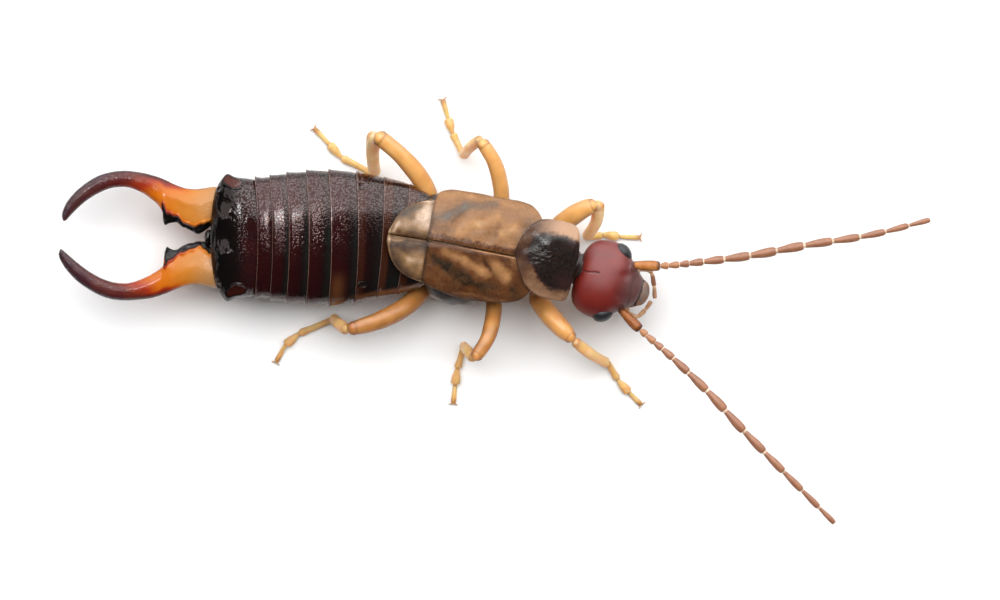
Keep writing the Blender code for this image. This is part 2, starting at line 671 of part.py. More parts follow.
def build():
    clear_scene()
    collection = bpy.data.collections.new("earwig")
    bpy.context.scene.collection.children.link(collection)
    stand = bpy.data.objects.new("earwig_frame", None)
    collection.objects.link(stand)
    finishes = {
        "head": material("head_red", RED, 0.35), "eye": material("eye_slate", SLATE, 0.25),
        "abdomen": material("abdomen_maroon", MAROON, 0.30), "thorax": material("thorax_black", BLACK, 0.45),
        "pronotum": material("pronotum_black", BLACK, 0.40), "tegmen": material("tegmen_bronze", BRONZE, 0.45),
        "wing": material("hind_wing_pale", PALE, 0.50), "leg": material("leg_amber", AMBER, 0.40),
        "cercus": material("cercus_rust", RUST, 0.28), "antenna": material("antenna_umber", UMBER, 0.50),
        "scape": material("scape_amber", AMBER, 0.40), "mouth": material("mouth_brown", UMBER, 0.40),
    }

    def add(name, mesh, finish):
        node(name, mesh, finishes[finish], collection, stand)

    signs = {"left": 1, "right": -1}
    add("head", carved(head_mesh(), eye_mesh(1, GAP), eye_mesh(-1, GAP)), "head")
    add("labrum", carved(labrum_mesh(), head_mesh(GAP)), "mouth")
    add("neck", carved(
        limb(NECK, (NECK_RADIUS, NECK_RADIUS), around=12, flat=0.75),
        head_mesh(GAP), trunk(PROTHORAX, grow=GAP),
    ), "thorax")
    add("prothorax", trunk(PROTHORAX), "thorax")
    add("mesothorax", trunk(MESOTHORAX), "thorax")
    add("metathorax", trunk(METATHORAX), "thorax")
    add("pronotum", pronotum_mesh(), "pronotum")
    for side, sign in signs.items():
        add(f"eye_{side}", eye_mesh(sign), "eye")
        add(f"mandible_{side}", carved(mandible_mesh(sign), labrum_mesh(GAP), head_mesh(GAP)), "mouth")
        add(f"palp_{side}", carved(limb(PALPS[side], PALP_RADII), head_mesh(GAP)), "mouth")
        add(f"antenna_{side}_scape", carved(scape_mesh(side), head_mesh(GAP)), "scape")
        add(f"antenna_{side}_flagellum", flagellum_mesh(side), "antenna")
        add(f"tegmen_{side}", carved(tegmen_mesh(sign), pronotum_mesh(GAP, 0.6)), "tegmen")
        add(f"hindwing_{side}", carved(hind_wing_mesh(sign), tegmen_mesh(sign, GAP)), "wing")
        add(f"cercus_{side}", arm_mesh(side), "cercus")
    for index in range(len(SEGMENT_X) - 1):
        add(f"abdomen_{index + 1}", segment_mesh(index), "abdomen")
    add("abdomen_10", last_segment_mesh(), "abdomen")
    add("pygidium", pygidium_mesh(), "abdomen")
    for leg in LEGS:
        beside = [trunk(stations, grow=GAP) for stations in (PROTHORAX, MESOTHORAX, METATHORAX)]
        beside += [segment_mesh(index, GAP) for index in range(4)]
        add(f"leg_{leg}_coxa", carved(coxa_mesh(leg), *beside), "leg")
        add(f"leg_{leg}_femur", carved(femur_mesh(leg), coxa_mesh(leg, GAP), *beside), "leg")
        add(f"leg_{leg}_tibia", carved(tibia_mesh(leg), femur_mesh(leg, GAP)), "leg")
        add(f"leg_{leg}_tarsus", carved(tarsus_mesh(leg), tibia_mesh(leg, GAP)), "leg")


build()
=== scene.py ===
import math

import bpy
import numpy as np
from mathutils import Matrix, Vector


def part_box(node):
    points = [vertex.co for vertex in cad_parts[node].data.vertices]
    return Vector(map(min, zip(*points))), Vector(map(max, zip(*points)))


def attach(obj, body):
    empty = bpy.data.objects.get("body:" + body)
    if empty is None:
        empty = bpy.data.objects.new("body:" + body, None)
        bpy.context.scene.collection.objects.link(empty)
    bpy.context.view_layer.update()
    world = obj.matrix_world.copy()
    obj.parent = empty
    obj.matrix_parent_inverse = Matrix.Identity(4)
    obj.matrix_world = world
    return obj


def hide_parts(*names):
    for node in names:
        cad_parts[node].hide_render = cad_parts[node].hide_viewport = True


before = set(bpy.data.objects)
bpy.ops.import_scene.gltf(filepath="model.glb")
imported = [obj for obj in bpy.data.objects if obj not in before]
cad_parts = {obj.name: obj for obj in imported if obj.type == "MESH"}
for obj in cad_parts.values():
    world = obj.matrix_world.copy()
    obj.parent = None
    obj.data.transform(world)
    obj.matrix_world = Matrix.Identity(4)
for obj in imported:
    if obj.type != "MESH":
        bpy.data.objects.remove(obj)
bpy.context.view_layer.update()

# The finish of a male earwig seen from straight above on a white table. Shapes are worked out in
# millimetres in the frame's own axes: x towards the head, y the animal's left, z up.
mm = 0.001
up = np.array([0.0, 0.0, 1.0])
sides = {"left": 1, "right": -1}
waveCount = 20


# A cubic between each two knots. A knot's slope is the harmonic mean of the rises before and after it
# when calm, so that the curve never overshoots, and their plain mean otherwise, which rounds a path.
def throughKnots(knots, values, at, calm=True):
    knots = np.asarray(knots, float)
    values = np.asarray(values, float)
    at = np.clip(np.asarray(at, float), knots[0], knots[-1])
    wide = (slice(None),) + (None,) * (values.ndim - 1)
    step = np.diff(knots)[wide]
    rise = np.diff(values, axis=0) / step
    if calm:
        both = rise[:-1] * rise[1:]
        mean = 2 * both / np.where(both > 0, rise[:-1] + rise[1:], 1.0)
        inner = np.where(both > 0, mean, 0.0)
    else:
        inner = (rise[:-1] + rise[1:]) / 2
    slope = np.concatenate([rise[:1], inner, rise[-1:]])
    piece = np.clip(np.searchsorted(knots, at, side="right") - 1, 0, len(knots) - 2)
    size = step[piece] if values.ndim == 1 else step[piece].reshape(-1, 1)
    t = at - knots[piece]
    t = t / size if values.ndim == 1 else t[:, None] / size
    before, after = values[piece], values[piece + 1]
    return (
        before * (1 + 2 * t) * (1 - t) ** 2 + slope[piece] * size * t * (1 - t) ** 2
        + after * t * t * (3 - 2 * t) + slope[piece + 1] * size * t * t * (t - 1)
    )


def along(points, rows):
    # Points at the wanted shares of the way along a rounded path, measured by its chords
    points = np.asarray(points, float)
    chord = np.r_[0, np.cumsum(np.linalg.norm(np.diff(points, axis=0), axis=1))]
    return throughKnots(chord / chord[-1], points, rows, calm=False)


def easeBetween(low, high, value):
    # 0 at low and 1 at high: three times the square of the share of the way, less twice its cube
    t = np.clip((value - low) / (high - low), 0, 1)
    return t * t * (3 - 2 * t)


def hump(x, centre, width):
    # A bell curve: e to the power of minus the square of the distance from the centre over the width
    return np.exp(-((x - centre) / width) ** 2)


def waves(points, size, seed):
    # Smooth noise from about -1 to 1: a sum of plane waves of one length, each with its own direction
    # and phase
    draw = np.random.default_rng(seed)
    heading = draw.normal(size=(waveCount, 3))
    heading /= np.linalg.norm(heading, axis=1, keepdims=True)
    phase = draw.uniform(0, 2 * np.pi, waveCount)
    total = np.sin(points @ heading.T * (2 * np.pi / size) + phase).sum(-1)
    return total / math.sqrt(2 * waveCount)


def roundedSquare(angle, square):
    # A superellipse: cosine and sine to the power of 2 over square, so 2 is a circle and more is boxier
    power = 2.0 / square
    cosine, sine = np.cos(angle), np.sin(angle)
    return np.sign(cosine) * np.abs(cosine) ** power, np.sign(sine) * np.abs(sine) ** power


def streak(f, lateral, start, end, width):
    # A bell curve of the distance from the line between start and end, so 1 on the line itself
    (f0, l0), (f1, l1) = start, end
    share = ((f - f0) * (f1 - f0) + (lateral - l0) * (l1 - l0)) / ((f1 - f0) ** 2 + (l1 - l0) ** 2)
    share = np.clip(share, 0, 1)
    return hump(np.hypot(f - f0 - share * (f1 - f0), lateral - l0 - share * (l1 - l0)), 0, width)


def softened(values, passes):
    # Each inner row moves halfway to the mean of its two neighbours, a number of times
    values = np.array(values, float)
    for _ in range(passes):
        values[1:-1] = (values[:-2] + 2 * values[1:-1] + values[2:]) / 4
    return values


def turned(points, place):
    # Local points (x forward, y left, z up) to the frame: turned about z, then moved
    (x, y, z), yaw = place
    c, s = math.cos(math.radians(yaw)), math.sin(math.radians(yaw))
    out = np.empty_like(points)
    out[..., 0] = x + points[..., 0] * c - points[..., 1] * s
    out[..., 1] = y + points[..., 0] * s + points[..., 1] * c
    out[..., 2] = z + points[..., 2]
    return out


def addObject(name, data):
    # Puts a mesh, a lamp or the camera into the scene
    made = bpy.data.objects.new(name, data)
    bpy.context.scene.collection.objects.link(made)
    return made


# A closed skin: rows of points, each row a ring; the first and last rings are filled by a fan to
# their middle. If its volume comes out below zero, all faces are turned round. paint holds one value a
# point for each named attribute.
def putSkin(name, rings, finish, paint):
    rows, columns = rings.shape[:2]
    index = np.arange(rows * columns).reshape(rows, columns)
    beside = np.roll(index, -1, axis=1)
    quads = np.stack([index[:-1], beside[:-1], beside[1:], index[1:]], -1).reshape(-1, 4)
    first, last = rows * columns, rows * columns + 1
    fans = np.concatenate([
        np.stack([np.full(columns, first), beside[0], index[0]], -1),
        np.stack([np.full(columns, last), index[-1], beside[-1]], -1),
    ])
    points = np.concatenate([rings.reshape(-1, 3), rings[:1].mean(1), rings[-1:].mean(1)]) * mm
    corner = points[quads]
    volume = np.einsum("ij,ij->", corner[:, 0], np.cross(corner[:, 1], corner[:, 2]))
    volume += np.einsum("ij,ij->", corner[:, 0], np.cross(corner[:, 2], corner[:, 3]))
    if volume < 0:
        quads, fans = quads[:, ::-1], fans[:, ::-1]
    mesh = bpy.data.meshes.new(name)
    mesh.vertices.add(len(points))
    mesh.vertices.foreach_set("co", points.astype(np.float32).ravel())
    loops = np.concatenate([quads.ravel(), fans.ravel()])
    sizes = np.r_[np.full(len(quads), 4), np.full(len(fans), 3)]
    mesh.loops.add(len(loops))
    mesh.loops.foreach_set("vertex_index", loops.astype(np.int32))
    mesh.polygons.add(len(sizes))
    mesh.polygons.foreach_set("loop_start", np.r_[0, np.cumsum(sizes)[:-1]].astype(np.int32))
    mesh.update(calc_edges=True)
    mesh.validate()
    mesh.shade_smooth()
    for label, values in paint.items():
        values = np.broadcast_to(values, (rows, columns))
        values = np.r_[values.ravel(), values[0].mean(), values[-1].mean()].astype(np.float32)
        mesh.attributes.new(label, "FLOAT", "POINT").data.foreach_set("value", values)
    mesh.materials.append(finish)
    return addObject(name, mesh)


def dress(piece, slotName, *nodes):
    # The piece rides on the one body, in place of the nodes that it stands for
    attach(piece, "root")
    if nodes:
        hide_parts(*nodes)


def sweep(centre, angle, wide, flat=1.0):
    # A ring round each point of a path, square to it: cosine times wide to the side, and sine times
    # wide times flat above
    ahead = np.gradient(centre, axis=0)
    ahead /= np.linalg.norm(ahead, axis=1, keepdims=True)
    side = np.cross(up, ahead)
    side /= np.linalg.norm(side, axis=1, keepdims=True)
    over = np.cross(ahead, side)
    return (
        centre[:, None] + side[:, None] * (np.cos(angle) * wide)[..., None]
        + over[:, None] * (np.sin(angle) * wide * flat)[..., None]
    )


# A tube along a rounded path, its radius from knots, plus lift(share, angle). radii are numbers at even
# steps, or pairs of share and number. Both ends are rounded off like a ball, by the root of 1 less the
# square of what is left; end is the last ball's length in radii.
def limbRings(points, radii, rows, columns, flat=1.0, end=1.0, lift=None):
    share = (1 - np.cos(np.linspace(0, np.pi, rows))) / 2
    centre = along(points, share)
    chord = np.r_[0, np.cumsum(np.linalg.norm(np.diff(centre, axis=0), axis=1))]
    if np.ndim(radii[0]) == 0:
        radii = list(zip(np.linspace(0, 1, len(radii)), radii))
    radius = throughKnots([knot for knot, _ in radii], [size for _, size in radii], share)
    for reach, run in ((1.0, chord), (end, chord[-1] - chord)):
        ball = np.clip(run / (radius * reach), 0, 1)
        radius = radius * np.sqrt(np.maximum(1 - (1 - ball) ** 2, 0.0004))
    angle = np.linspace(0, 2 * np.pi, columns, endpoint=False)
    wide = radius[:, None] * np.ones(columns)
    if lift is not None:
        full = np.minimum(1, radius / radius.max() * 2)[:, None]
        wide = wide + lift(share[:, None], angle[None, :]) * full
    rings = sweep(centre, angle, wide, flat)
    return rings, share[:, None] * np.ones(columns), angle[None, :] * np.ones((rows, 1))


# Shader groups and the one kind of horn-like material that all parts of the animal use

def addNode(tree, kind, inputs=None, **settings):
    # A node with its settings, each input linked if it's given a socket, and set to the value if not
    made = tree.nodes.new(kind)
    for key, value in settings.items():
        setattr(made, key, value)
    for key, value in (inputs or {}).items():
        if isinstance(value, bpy.types.NodeSocket):
            tree.links.new(value, made.inputs[key])
        else:
            made.inputs[key].default_value = value
    return made


def makeGroup(name, inputs, outputs, build):
    # A node group: build adds its nodes to the given inputs and says what goes to each output
    tree = bpy.data.node_groups.new(name, "ShaderNodeTree")
    for label, kind, value in inputs:
        socket = tree.interface.new_socket(label, in_out="INPUT", socket_type=kind)
        if value is not None:
            socket.default_value = value
    for label, kind in outputs:
        tree.interface.new_socket(label, in_out="OUTPUT", socket_type=kind)
    entry = tree.nodes.new("NodeGroupInput")
    leave = tree.nodes.new("NodeGroupOutput")
    for label, socket in build(tree, entry.outputs).items():
        tree.links.new(socket, leave.inputs[label])
    return tree


def maths(tree, operation, first, second=0.0, third=0.0):
    # The operation on two or three numbers or sockets
    return addNode(
        tree, "ShaderNodeMath", {0: first, 1: second, 2: third}, operation=operation
    ).outputs[0]


def buildPits(tree, given):
    # Round pits at the cell centres of a Voronoi pattern. Height eases from -1 in the middle to 0 at
    # Size away from it, and Mask is its opposite.
    cells = addNode(
        tree, "ShaderNodeTexVoronoi",
        {"Vector": given["Place"], "Scale": given["Density"], "Randomness": 0.85},
    )
    near = maths(tree, "DIVIDE", cells.outputs["Distance"], given["Size"])
    shape = addNode(
        tree, "ShaderNodeMapRange",
        {"Value": near, "To Min": -1.0, "To Max": 0.0}, interpolation_type="SMOOTHSTEP",
    ).outputs["Result"]
    return {"Height": shape, "Mask": maths(tree, "MULTIPLY", shape, -1.0)}


def buildGrain(tree, given):
    # Two sizes of noise added together, the finer one half as strong
    coarse = addNode(
        tree, "ShaderNodeTexNoise", {"Vector": given["Place"], "Scale": given["Density"], "Detail": 3.0}
    )
    finer = maths(tree, "MULTIPLY", given["Density"], 3.7)
    fine = addNode(
        tree, "ShaderNodeTexNoise", {"Vector": given["Place"], "Scale": finer, "Detail": 2.0}
    )
    total = maths(tree, "MULTIPLY_ADD", fine.outputs["Fac"], 0.5, coarse.outputs["Fac"])
    return {"Height": maths(tree, "SUBTRACT", total, 0.75)}


def buildMottle(tree, given):
    # Soft patches: noise pushed apart round its middle, mixing two colours
    noise = addNode(
        tree, "ShaderNodeTexNoise",
        {"Vector": given["Place"], "Scale": given["Density"], "Detail": 4.0, "Distortion": 0.6},
    )
    spread = addNode(
        tree, "ShaderNodeMapRange",
        {"Value": noise.outputs["Fac"], "From Min": 0.36, "From Max": 0.64},
        interpolation_type="SMOOTHSTEP",
    )
    share = maths(tree, "MULTIPLY", spread.outputs["Result"], given["Amount"])
    mixed = addNode(
        tree, "ShaderNodeMix", {"Factor": share, 6: given["Color"], 7: given["Patch"]}, data_type="RGBA"
    )
    return {"Color": mixed.outputs[2]}


numberKind, colourKind, placeKind = "NodeSocketFloat", "NodeSocketColor", "NodeSocketVector"
pits = makeGroup(
    "pits", [("Place", placeKind, None), ("Density", numberKind, 10.0), ("Size", numberKind, 0.4)],
    [("Height", numberKind), ("Mask", numberKind)], buildPits,
)
grain = makeGroup(
    "grain", [("Place", placeKind, None), ("Density", numberKind, 10.0)],
    [("Height", numberKind)], buildGrain,
)
mottle = makeGroup(
    "mottle",
    [("Place", placeKind, None), ("Density", numberKind, 2.0), ("Amount", numberKind, 0.5),
     ("Color", colourKind, None), ("Patch", colourKind, None)],
    [("Color", colourKind)], buildMottle,
)


# What a finish has where it doesn't say otherwise
plainHorn = {
    "relief": False,           # whether the mesh's relief scales the grain and pits
    "specular": 0.5, "tint": (1.0, 1.0, 1.0),
    "fleck": 0.0, "fleckIndex": 1.8,             # how strongly each pit or granule shines
    "coat": 0.0, "coatRough": 0.1, "sheen": 0.0, "sheenRough": 0.4,
    "glow": 0.0, "glowSpread": (1.0, 0.45, 0.15),   # how far each colour goes below the surface
}


# Colour runs along a ramp by the mesh's tone, soft patches mix a second colour in, and the mesh's mask
# lays a third one over both. The bump is the grain times its depth plus the pits times theirs.
def hornFinish(name, look):
    look = {**plainHorn, **look}
    made = bpy.data.materials.new(name)
    made.use_nodes = True
    tree = made.node_tree
    shader = tree.nodes["Principled BSDF"]
    place = addNode(
        tree, "ShaderNodeMapping",
        {"Vector": addNode(tree, "ShaderNodeTexCoord").outputs["Object"], "Scale": (1000, 1000, 1000)},
    ).outputs[0]
    tone = addNode(tree, "ShaderNodeAttribute", attribute_name="tone").outputs["Fac"]
    mask = addNode(tree, "ShaderNodeAttribute", attribute_name="mask").outputs["Fac"]
    ramp = addNode(tree, "ShaderNodeValToRGB", {"Fac": tone})
    stops = ramp.color_ramp.elements
    while len(stops) < len(look["ramp"]):
        stops.new(0.5)
    for stop, (position, colour) in zip(stops, look["ramp"]):
        stop.position = position
        stop.color = (*colour, 1)
    density, amount = look["mottle"]
    patched = addNode(tree, "ShaderNodeGroup", {
        "Place": place, "Density": density, "Amount": amount,
        "Color": ramp.outputs["Color"], "Patch": (*look["patch"], 1),
    }, node_tree=mottle)
    over = addNode(tree, "ShaderNodeMix", {
        "Factor": mask, 6: patched.outputs["Color"], 7: (*look["over"], 1),
    }, data_type="RGBA")
    density, grainDepth = look["grain"]
    rough = addNode(tree, "ShaderNodeGroup", {"Place": place, "Density": density}, node_tree=grain)
    density, size, pitDepth = look["pits"]
    pitted = addNode(
        tree, "ShaderNodeGroup", {"Place": place, "Density": density, "Size": size}, node_tree=pits
    )
    height = maths(tree, "MULTIPLY", rough.outputs["Height"], grainDepth)
    height = maths(tree, "MULTIPLY_ADD", pitted.outputs["Height"], pitDepth, height)
    if look["relief"]:
        relief = addNode(tree, "ShaderNodeAttribute", attribute_name="relief").outputs["Fac"]
        height = maths(tree, "MULTIPLY", height, relief)
    bump = addNode(tree, "ShaderNodeBump", {"Height": height, "Distance": mm, "Strength": 1.0})
    low, high = look["rough"]
    gloss = addNode(tree, "ShaderNodeMapRange", {
        "Value": rough.outputs["Height"], "From Min": -0.3, "From Max": 0.3,
        "To Min": low, "To Max": high,
    })
    tree.links.new(over.outputs[2], shader.inputs["Base Color"])
    tree.links.new(gloss.outputs["Result"], shader.inputs["Roughness"])
    tree.links.new(bump.outputs["Normal"], shader.inputs["Normal"])
    shader.inputs["Specular IOR Level"].default_value = look["specular"]
    shader.inputs["Specular Tint"].default_value = (*look["tint"], 1)
    if look["fleck"]:
        # The middle of each pit or granule has a clear coat, so it shines more than what lies between
        flecks = maths(tree, "MULTIPLY", pitted.outputs["Mask"], look["fleck"])
        if look["relief"]:
            flecks = maths(tree, "MULTIPLY", flecks, relief)
        tree.links.new(flecks, shader.inputs["Coat Weight"])
        shader.inputs["Coat IOR"].default_value = look["fleckIndex"]
    else:
        shader.inputs["Coat Weight"].default_value = look["coat"]
    shader.inputs["Coat Roughness"].default_value = look["coatRough"]
    shader.inputs["Sheen Weight"].default_value = look["sheen"]
    shader.inputs["Sheen Roughness"].default_value = look["sheenRough"]
    if look["glow"]:
        shader.inputs["Subsurface Weight"].default_value = look["glow"]
        shader.inputs["Subsurface Radius"].default_value = look["glowSpread"]
        shader.inputs["Subsurface Scale"].default_value = look["glowReach"] * mm
    return made


# ramp: stops of tone and colour. patch and mottle: the second colour, then the patches' density and
# strength. over: the mask's colour. grain: density and depth. pits: density, size and depth, and a depth
# below zero raises granules instead. rough: the least and the most. Depths are in millimetres, and
# densities are counts to a millimetre.
finishes = {
    "head": dict(
        ramp=[(0.0, (0.175, 0.009, 0.004)), (0.35, (0.145, 0.010, 0.006)), (0.60, (0.105, 0.024, 0.022)),
              (0.82, (0.10, 0.045, 0.042)), (1.0, (0.12, 0.088, 0.082))],
        patch=(0.10, 0.006, 0.004), over=(0.012, 0.006, 0.005), mottle=(1.6, 0.45),
        grain=(22, 0.003), pits=(16, 0.30, 0.001), rough=(0.40, 0.50), specular=0.55,
        glow=0.12, glowReach=0.15,
    ),
    "eye": dict(
        ramp=[(0.0, (0.006, 0.007, 0.008)), (1.0, (0.016, 0.017, 0.019))],
        patch=(0.012, 0.012, 0.013), over=(0.01, 0.01, 0.01), mottle=(3.0, 0.4),
        grain=(20, 0.001), pits=(34, 0.62, -0.004), rough=(0.32, 0.42), specular=0.40,
    ),
    "pronotum": dict(
        ramp=[(0.0, (0.24, 0.128, 0.068)), (0.30, (0.128, 0.06, 0.0304)),
              (0.52, (0.048, 0.0208, 0.0144)), (0.75, (0.024, 0.0112, 0.0112)),
              (1.0, (0.0056, 0.0064, 0.0064))],
        patch=(0.04, 0.0192, 0.0112), over=(0.576, 0.336, 0.2), mottle=(11, 0.34), relief=True,
        grain=(13, 0.010), pits=(12, 0.42, 0.005), rough=(0.15, 0.25), specular=0.30,
    ),
    "tegmen": dict(
        ramp=[(0.0, (0.016, 0.010, 0.006)), (0.12, (0.034, 0.017, 0.008)), (0.30, (0.105, 0.036, 0.012)),
              (0.50, (0.31, 0.145, 0.056)), (0.72, (0.44, 0.215, 0.084)), (1.0, (0.60, 0.37, 0.19))],
        patch=(0.17, 0.075, 0.028), over=(0.15, 0.128, 0.100), mottle=(3.2, 0.25),
        grain=(15, 0.006), pits=(12, 0.34, 0.002), rough=(0.22, 0.33), specular=0.20,
    ),
    "wing": dict(
        ramp=[(0.0, (0.016, 0.008, 0.0048)), (0.25, (0.096, 0.044, 0.0192)),
              (0.55, (0.288, 0.16, 0.068)), (1.0, (0.704, 0.512, 0.376))],
        patch=(0.192, 0.096, 0.04), over=(0.048, 0.0448, 0.04), mottle=(4.0, 0.30),
        grain=(18, 0.005), pits=(14, 0.3, 0.002), rough=(0.30, 0.42), specular=0.22,
    ),
    "abdomen": dict(
        ramp=[(0.0, (0.007, 0.008, 0.007)), (0.22, (0.006, 0.0035, 0.0035)),
              (0.48, (0.0135, 0.0020, 0.0022)), (0.94, (0.019, 0.0024, 0.0026)),
              (1.0, (0.12, 0.068, 0.052))],
        patch=(0.009, 0.0018, 0.002), over=(0.136, 0.0496, 0.016), mottle=(1.6, 0.30),
        grain=(20, 0.0008), pits=(15.5, 0.74, -0.0042), rough=(0.10, 0.16), specular=0.34,
        tint=(1.0, 0.70, 0.66), fleck=0.56, coatRough=0.15,
    ),
    "tail": dict(
        ramp=[(0.0, (0.003, 0.003, 0.003)), (0.5, (0.007, 0.003, 0.003)),
              (1.0, (0.026, 0.0042, 0.0046))],
        patch=(0.008, 0.0035, 0.004), over=(0.075, 0.012, 0.006), mottle=(2.2, 0.40), relief=True,
        grain=(16, 0.0010), pits=(15.5, 0.74, -0.0042), rough=(0.08, 0.14), specular=0.16,
        tint=(1.0, 0.84, 0.82), fleck=0.75, coatRough=0.12,
    ),
    "cercus": dict(
        ramp=[(0.0, (0.50, 0.25, 0.095)), (0.17, (0.58, 0.21, 0.030)), (0.34, (0.58, 0.140, 0.006)),
              (0.45, (0.34, 0.030, 0.008)), (0.56, (0.105, 0.012, 0.010)), (0.75, (0.064, 0.014, 0.018)),
              (1.0, (0.030, 0.014, 0.022))],
        patch=(0.34, 0.10, 0.020), over=(0.005, 0.004, 0.004), mottle=(2.0, 0.08), relief=True,
        grain=(13, 0.006), pits=(13, 0.55, 0.010), rough=(0.12, 0.20), specular=0.22,
        fleck=0.55, coatRough=0.15, glow=0.05, glowReach=0.2,
    ),
    "leg": dict(
        ramp=[(0.0, (0.34, 0.140, 0.038)), (0.35, (0.70, 0.35, 0.105)), (0.65, (0.84, 0.47, 0.160)),
              (1.0, (0.95, 0.74, 0.46))],
        patch=(0.62, 0.27, 0.070), over=(0.20, 0.060, 0.020), mottle=(2.2, 0.30),
        grain=(16, 0.004), pits=(15, 0.3, 0.001), rough=(0.26, 0.38), coat=0.06, coatRough=0.14,
        glow=0.55, glowReach=0.40,
    ),
    "shin": dict(
        ramp=[(0.0, (0.55, 0.28, 0.100)), (0.6, (0.80, 0.50, 0.21)), (1.0, (0.97, 0.80, 0.54))],
        patch=(0.74, 0.46, 0.20), over=(0.24, 0.080, 0.026), mottle=(2.2, 0.35),
        grain=(16, 0.004), pits=(15, 0.3, 0.001), rough=(0.30, 0.42), specular=0.40,
        glow=0.90, glowReach=0.60,
    ),
    "scape": dict(
        ramp=[(0.0, (0.22, 0.062, 0.016)), (0.5, (0.48, 0.175, 0.042)), (1.0, (0.66, 0.30, 0.095))],
        patch=(0.34, 0.11, 0.025), over=(0.08, 0.022, 0.010), mottle=(4.0, 0.40),
        grain=(18, 0.004), pits=(18, 0.34, 0.003), rough=(0.18, 0.30), specular=0.24,
        glow=0.15, glowReach=0.15,
    ),
    "antenna": dict(
        ramp=[(0.0, (0.82, 0.64, 0.46)), (0.22, (0.56, 0.30, 0.17)), (0.45, (0.30, 0.118, 0.056)),
              (1.0, (0.34, 0.140, 0.068))],
        patch=(0.21, 0.078, 0.036), over=(0.58, 0.25, 0.085), mottle=(5.0, 0.45),
        grain=(26, 0.003), pits=(24, 0.34, 0.002), rough=(0.36, 0.52), sheen=0.04,
    ),
    "mouth": dict(
        ramp=[(0.0, (0.66, 0.40, 0.20)), (0.5, (0.26, 0.10, 0.05)), (1.0, (0.14, 0.118, 0.100))],
        patch=(0.20, 0.080, 0.045), over=(0.022, 0.018, 0.016), mottle=(4.0, 0.3),
        grain=(22, 0.004), pits=(18, 0.3, 0.002), rough=(0.40, 0.55), specular=0.40,
    ),
    "thorax": dict(
        ramp=[(0.0, (0.008, 0.0064, 0.0056)), (0.6, (0.04, 0.0176, 0.0096)),
              (1.0, (0.176, 0.076, 0.028))],
        patch=(0.016, 0.0096, 0.008), over=(0.24, 0.144, 0.08), mottle=(2.4, 0.5),
        grain=(14, 0.006), pits=(12, 0.36, 0.004), rough=(0.30, 0.48), coat=0.08,
    ),
}
horn = {name: hornFinish("horn_" + name, look) for name, look in finishes.items()}
print("materials:", len(horn))


# Abdomen: nine telescoped segments, each with its front tucked into the one before it

abdomen = {
    "rows": 64, "rimRows": 12, "columns": 176, "square": 2.45,
    "lap": 0.05,             # how far each end passes its solid's
    "tuck": 0.20,            # how far the front reaches into the segment before it
    "rim": 0.022, "dip": -0.020, "below": -0.045,   # how far out the rim, front and underside lie
    "lip": ((-0.004, -0.012), (0.004, -0.035), (0.03, -0.07), (0.06, -0.20)),   # forward, out
    "bow": 0.11,             # how far the hind edge lies further back at its sides
    "flare": 0.032, "flareFrom": 4,   # how far the hind corners stand out, and from which segment on
    "slant": 0.15,           # how the front segments' edges lean, their left side forward
    "narrow": 0.09,          # what the front segments lose in half width from their solids
    "narrowFrom": (-4.2, -2.9),   # the x between which that eases in
    "inset": (0.01, 0.03),   # how far the skins lie inside the solids at the sides, and above and below
    "tergiteEdge": -0.42,    # angle, in radians, where the upper plate ends at the side
    "glandOn": 4, "glandX": -3.97, "glandAside": {"left": 1.52, "right": 1.40},
    "glandLong": 0.17, "glandWide": 0.11,
    "grey": {1: 0.95, 2: 0.95, 3: 0.92, 4: 0.55},   # how grey-black a segment is, and not maroon
    "darkTo": {8: 0.62, 9: 0.10}, "darkUsual": 0.80,   # the share of the way back where black ends
    "tanTop": {"left": 0.40, "right": 0.62},   # angle, in radians, of the side strips' upper edges
    "emberOn": 5,            # the segment with a warm patch on its right side
}
segmentNames = [f"abdomen_{number}" for number in range(1, 10)]
segmentBoxes = [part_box(name) for name in segmentNames]
bodyMiddle = (segmentBoxes[6][0].y + segmentBoxes[6][1].y) / 2 / mm
waist = {"x": -2.90, "slope": 0.155, "blend": 0.30}


def midlineY(x):
    # Straight behind the waist, then a bend to the animal's right: the log of 1 plus e to the power of x
    bend = np.log1p(np.exp((x - waist["x"]) / waist["blend"]))
    return bodyMiddle - waist["slope"] * waist["blend"] * bend


def bodyProfile():
    # Half width, top and underside along the abdomen, read from the frame's own segments
    knots, sizes = [], []
    sideways, upright = abdomen["inset"]
    for low, high in reversed(segmentBoxes):
        knots.append((low.x + high.x) / 2 / mm)
        less = abdomen["narrow"] * easeBetween(*abdomen["narrowFrom"], knots[-1])
        half = (high.y - low.y) / 2 / mm - sideways - less
        sizes.append((half, high.z / mm - upright, low.z / mm + upright))
    return knots, np.array(sizes)


profileKnots, profileSizes = bodyProfile()


def trunkRings(x, offset, columns, square, sizes=None):
    # Superellipse rings across the body, its half width and half height each grown by the offset
    if sizes is None:
        sizes = throughKnots(profileKnots, profileSizes, x)
    half, top, under = (sizes[:, k][:, None] for k in range(3))
    angle = np.linspace(0, 2 * np.pi, columns, endpoint=False)[None, :]
    across, rise = roundedSquare(angle, square)
    offset = offset[:, None] if offset.ndim == 1 else offset
    lateral = across * (half + offset)
    height = (top + under) / 2 + rise * ((top - under) / 2 + offset)
    rings = np.empty((*np.broadcast(lateral, x[:, None]).shape, 3))
    rings[..., 0] = x[:, None]
    rings[..., 1] = midlineY(x)[:, None] + lateral
    rings[..., 2] = height
    return rings, lateral, angle * np.ones((len(x), 1))


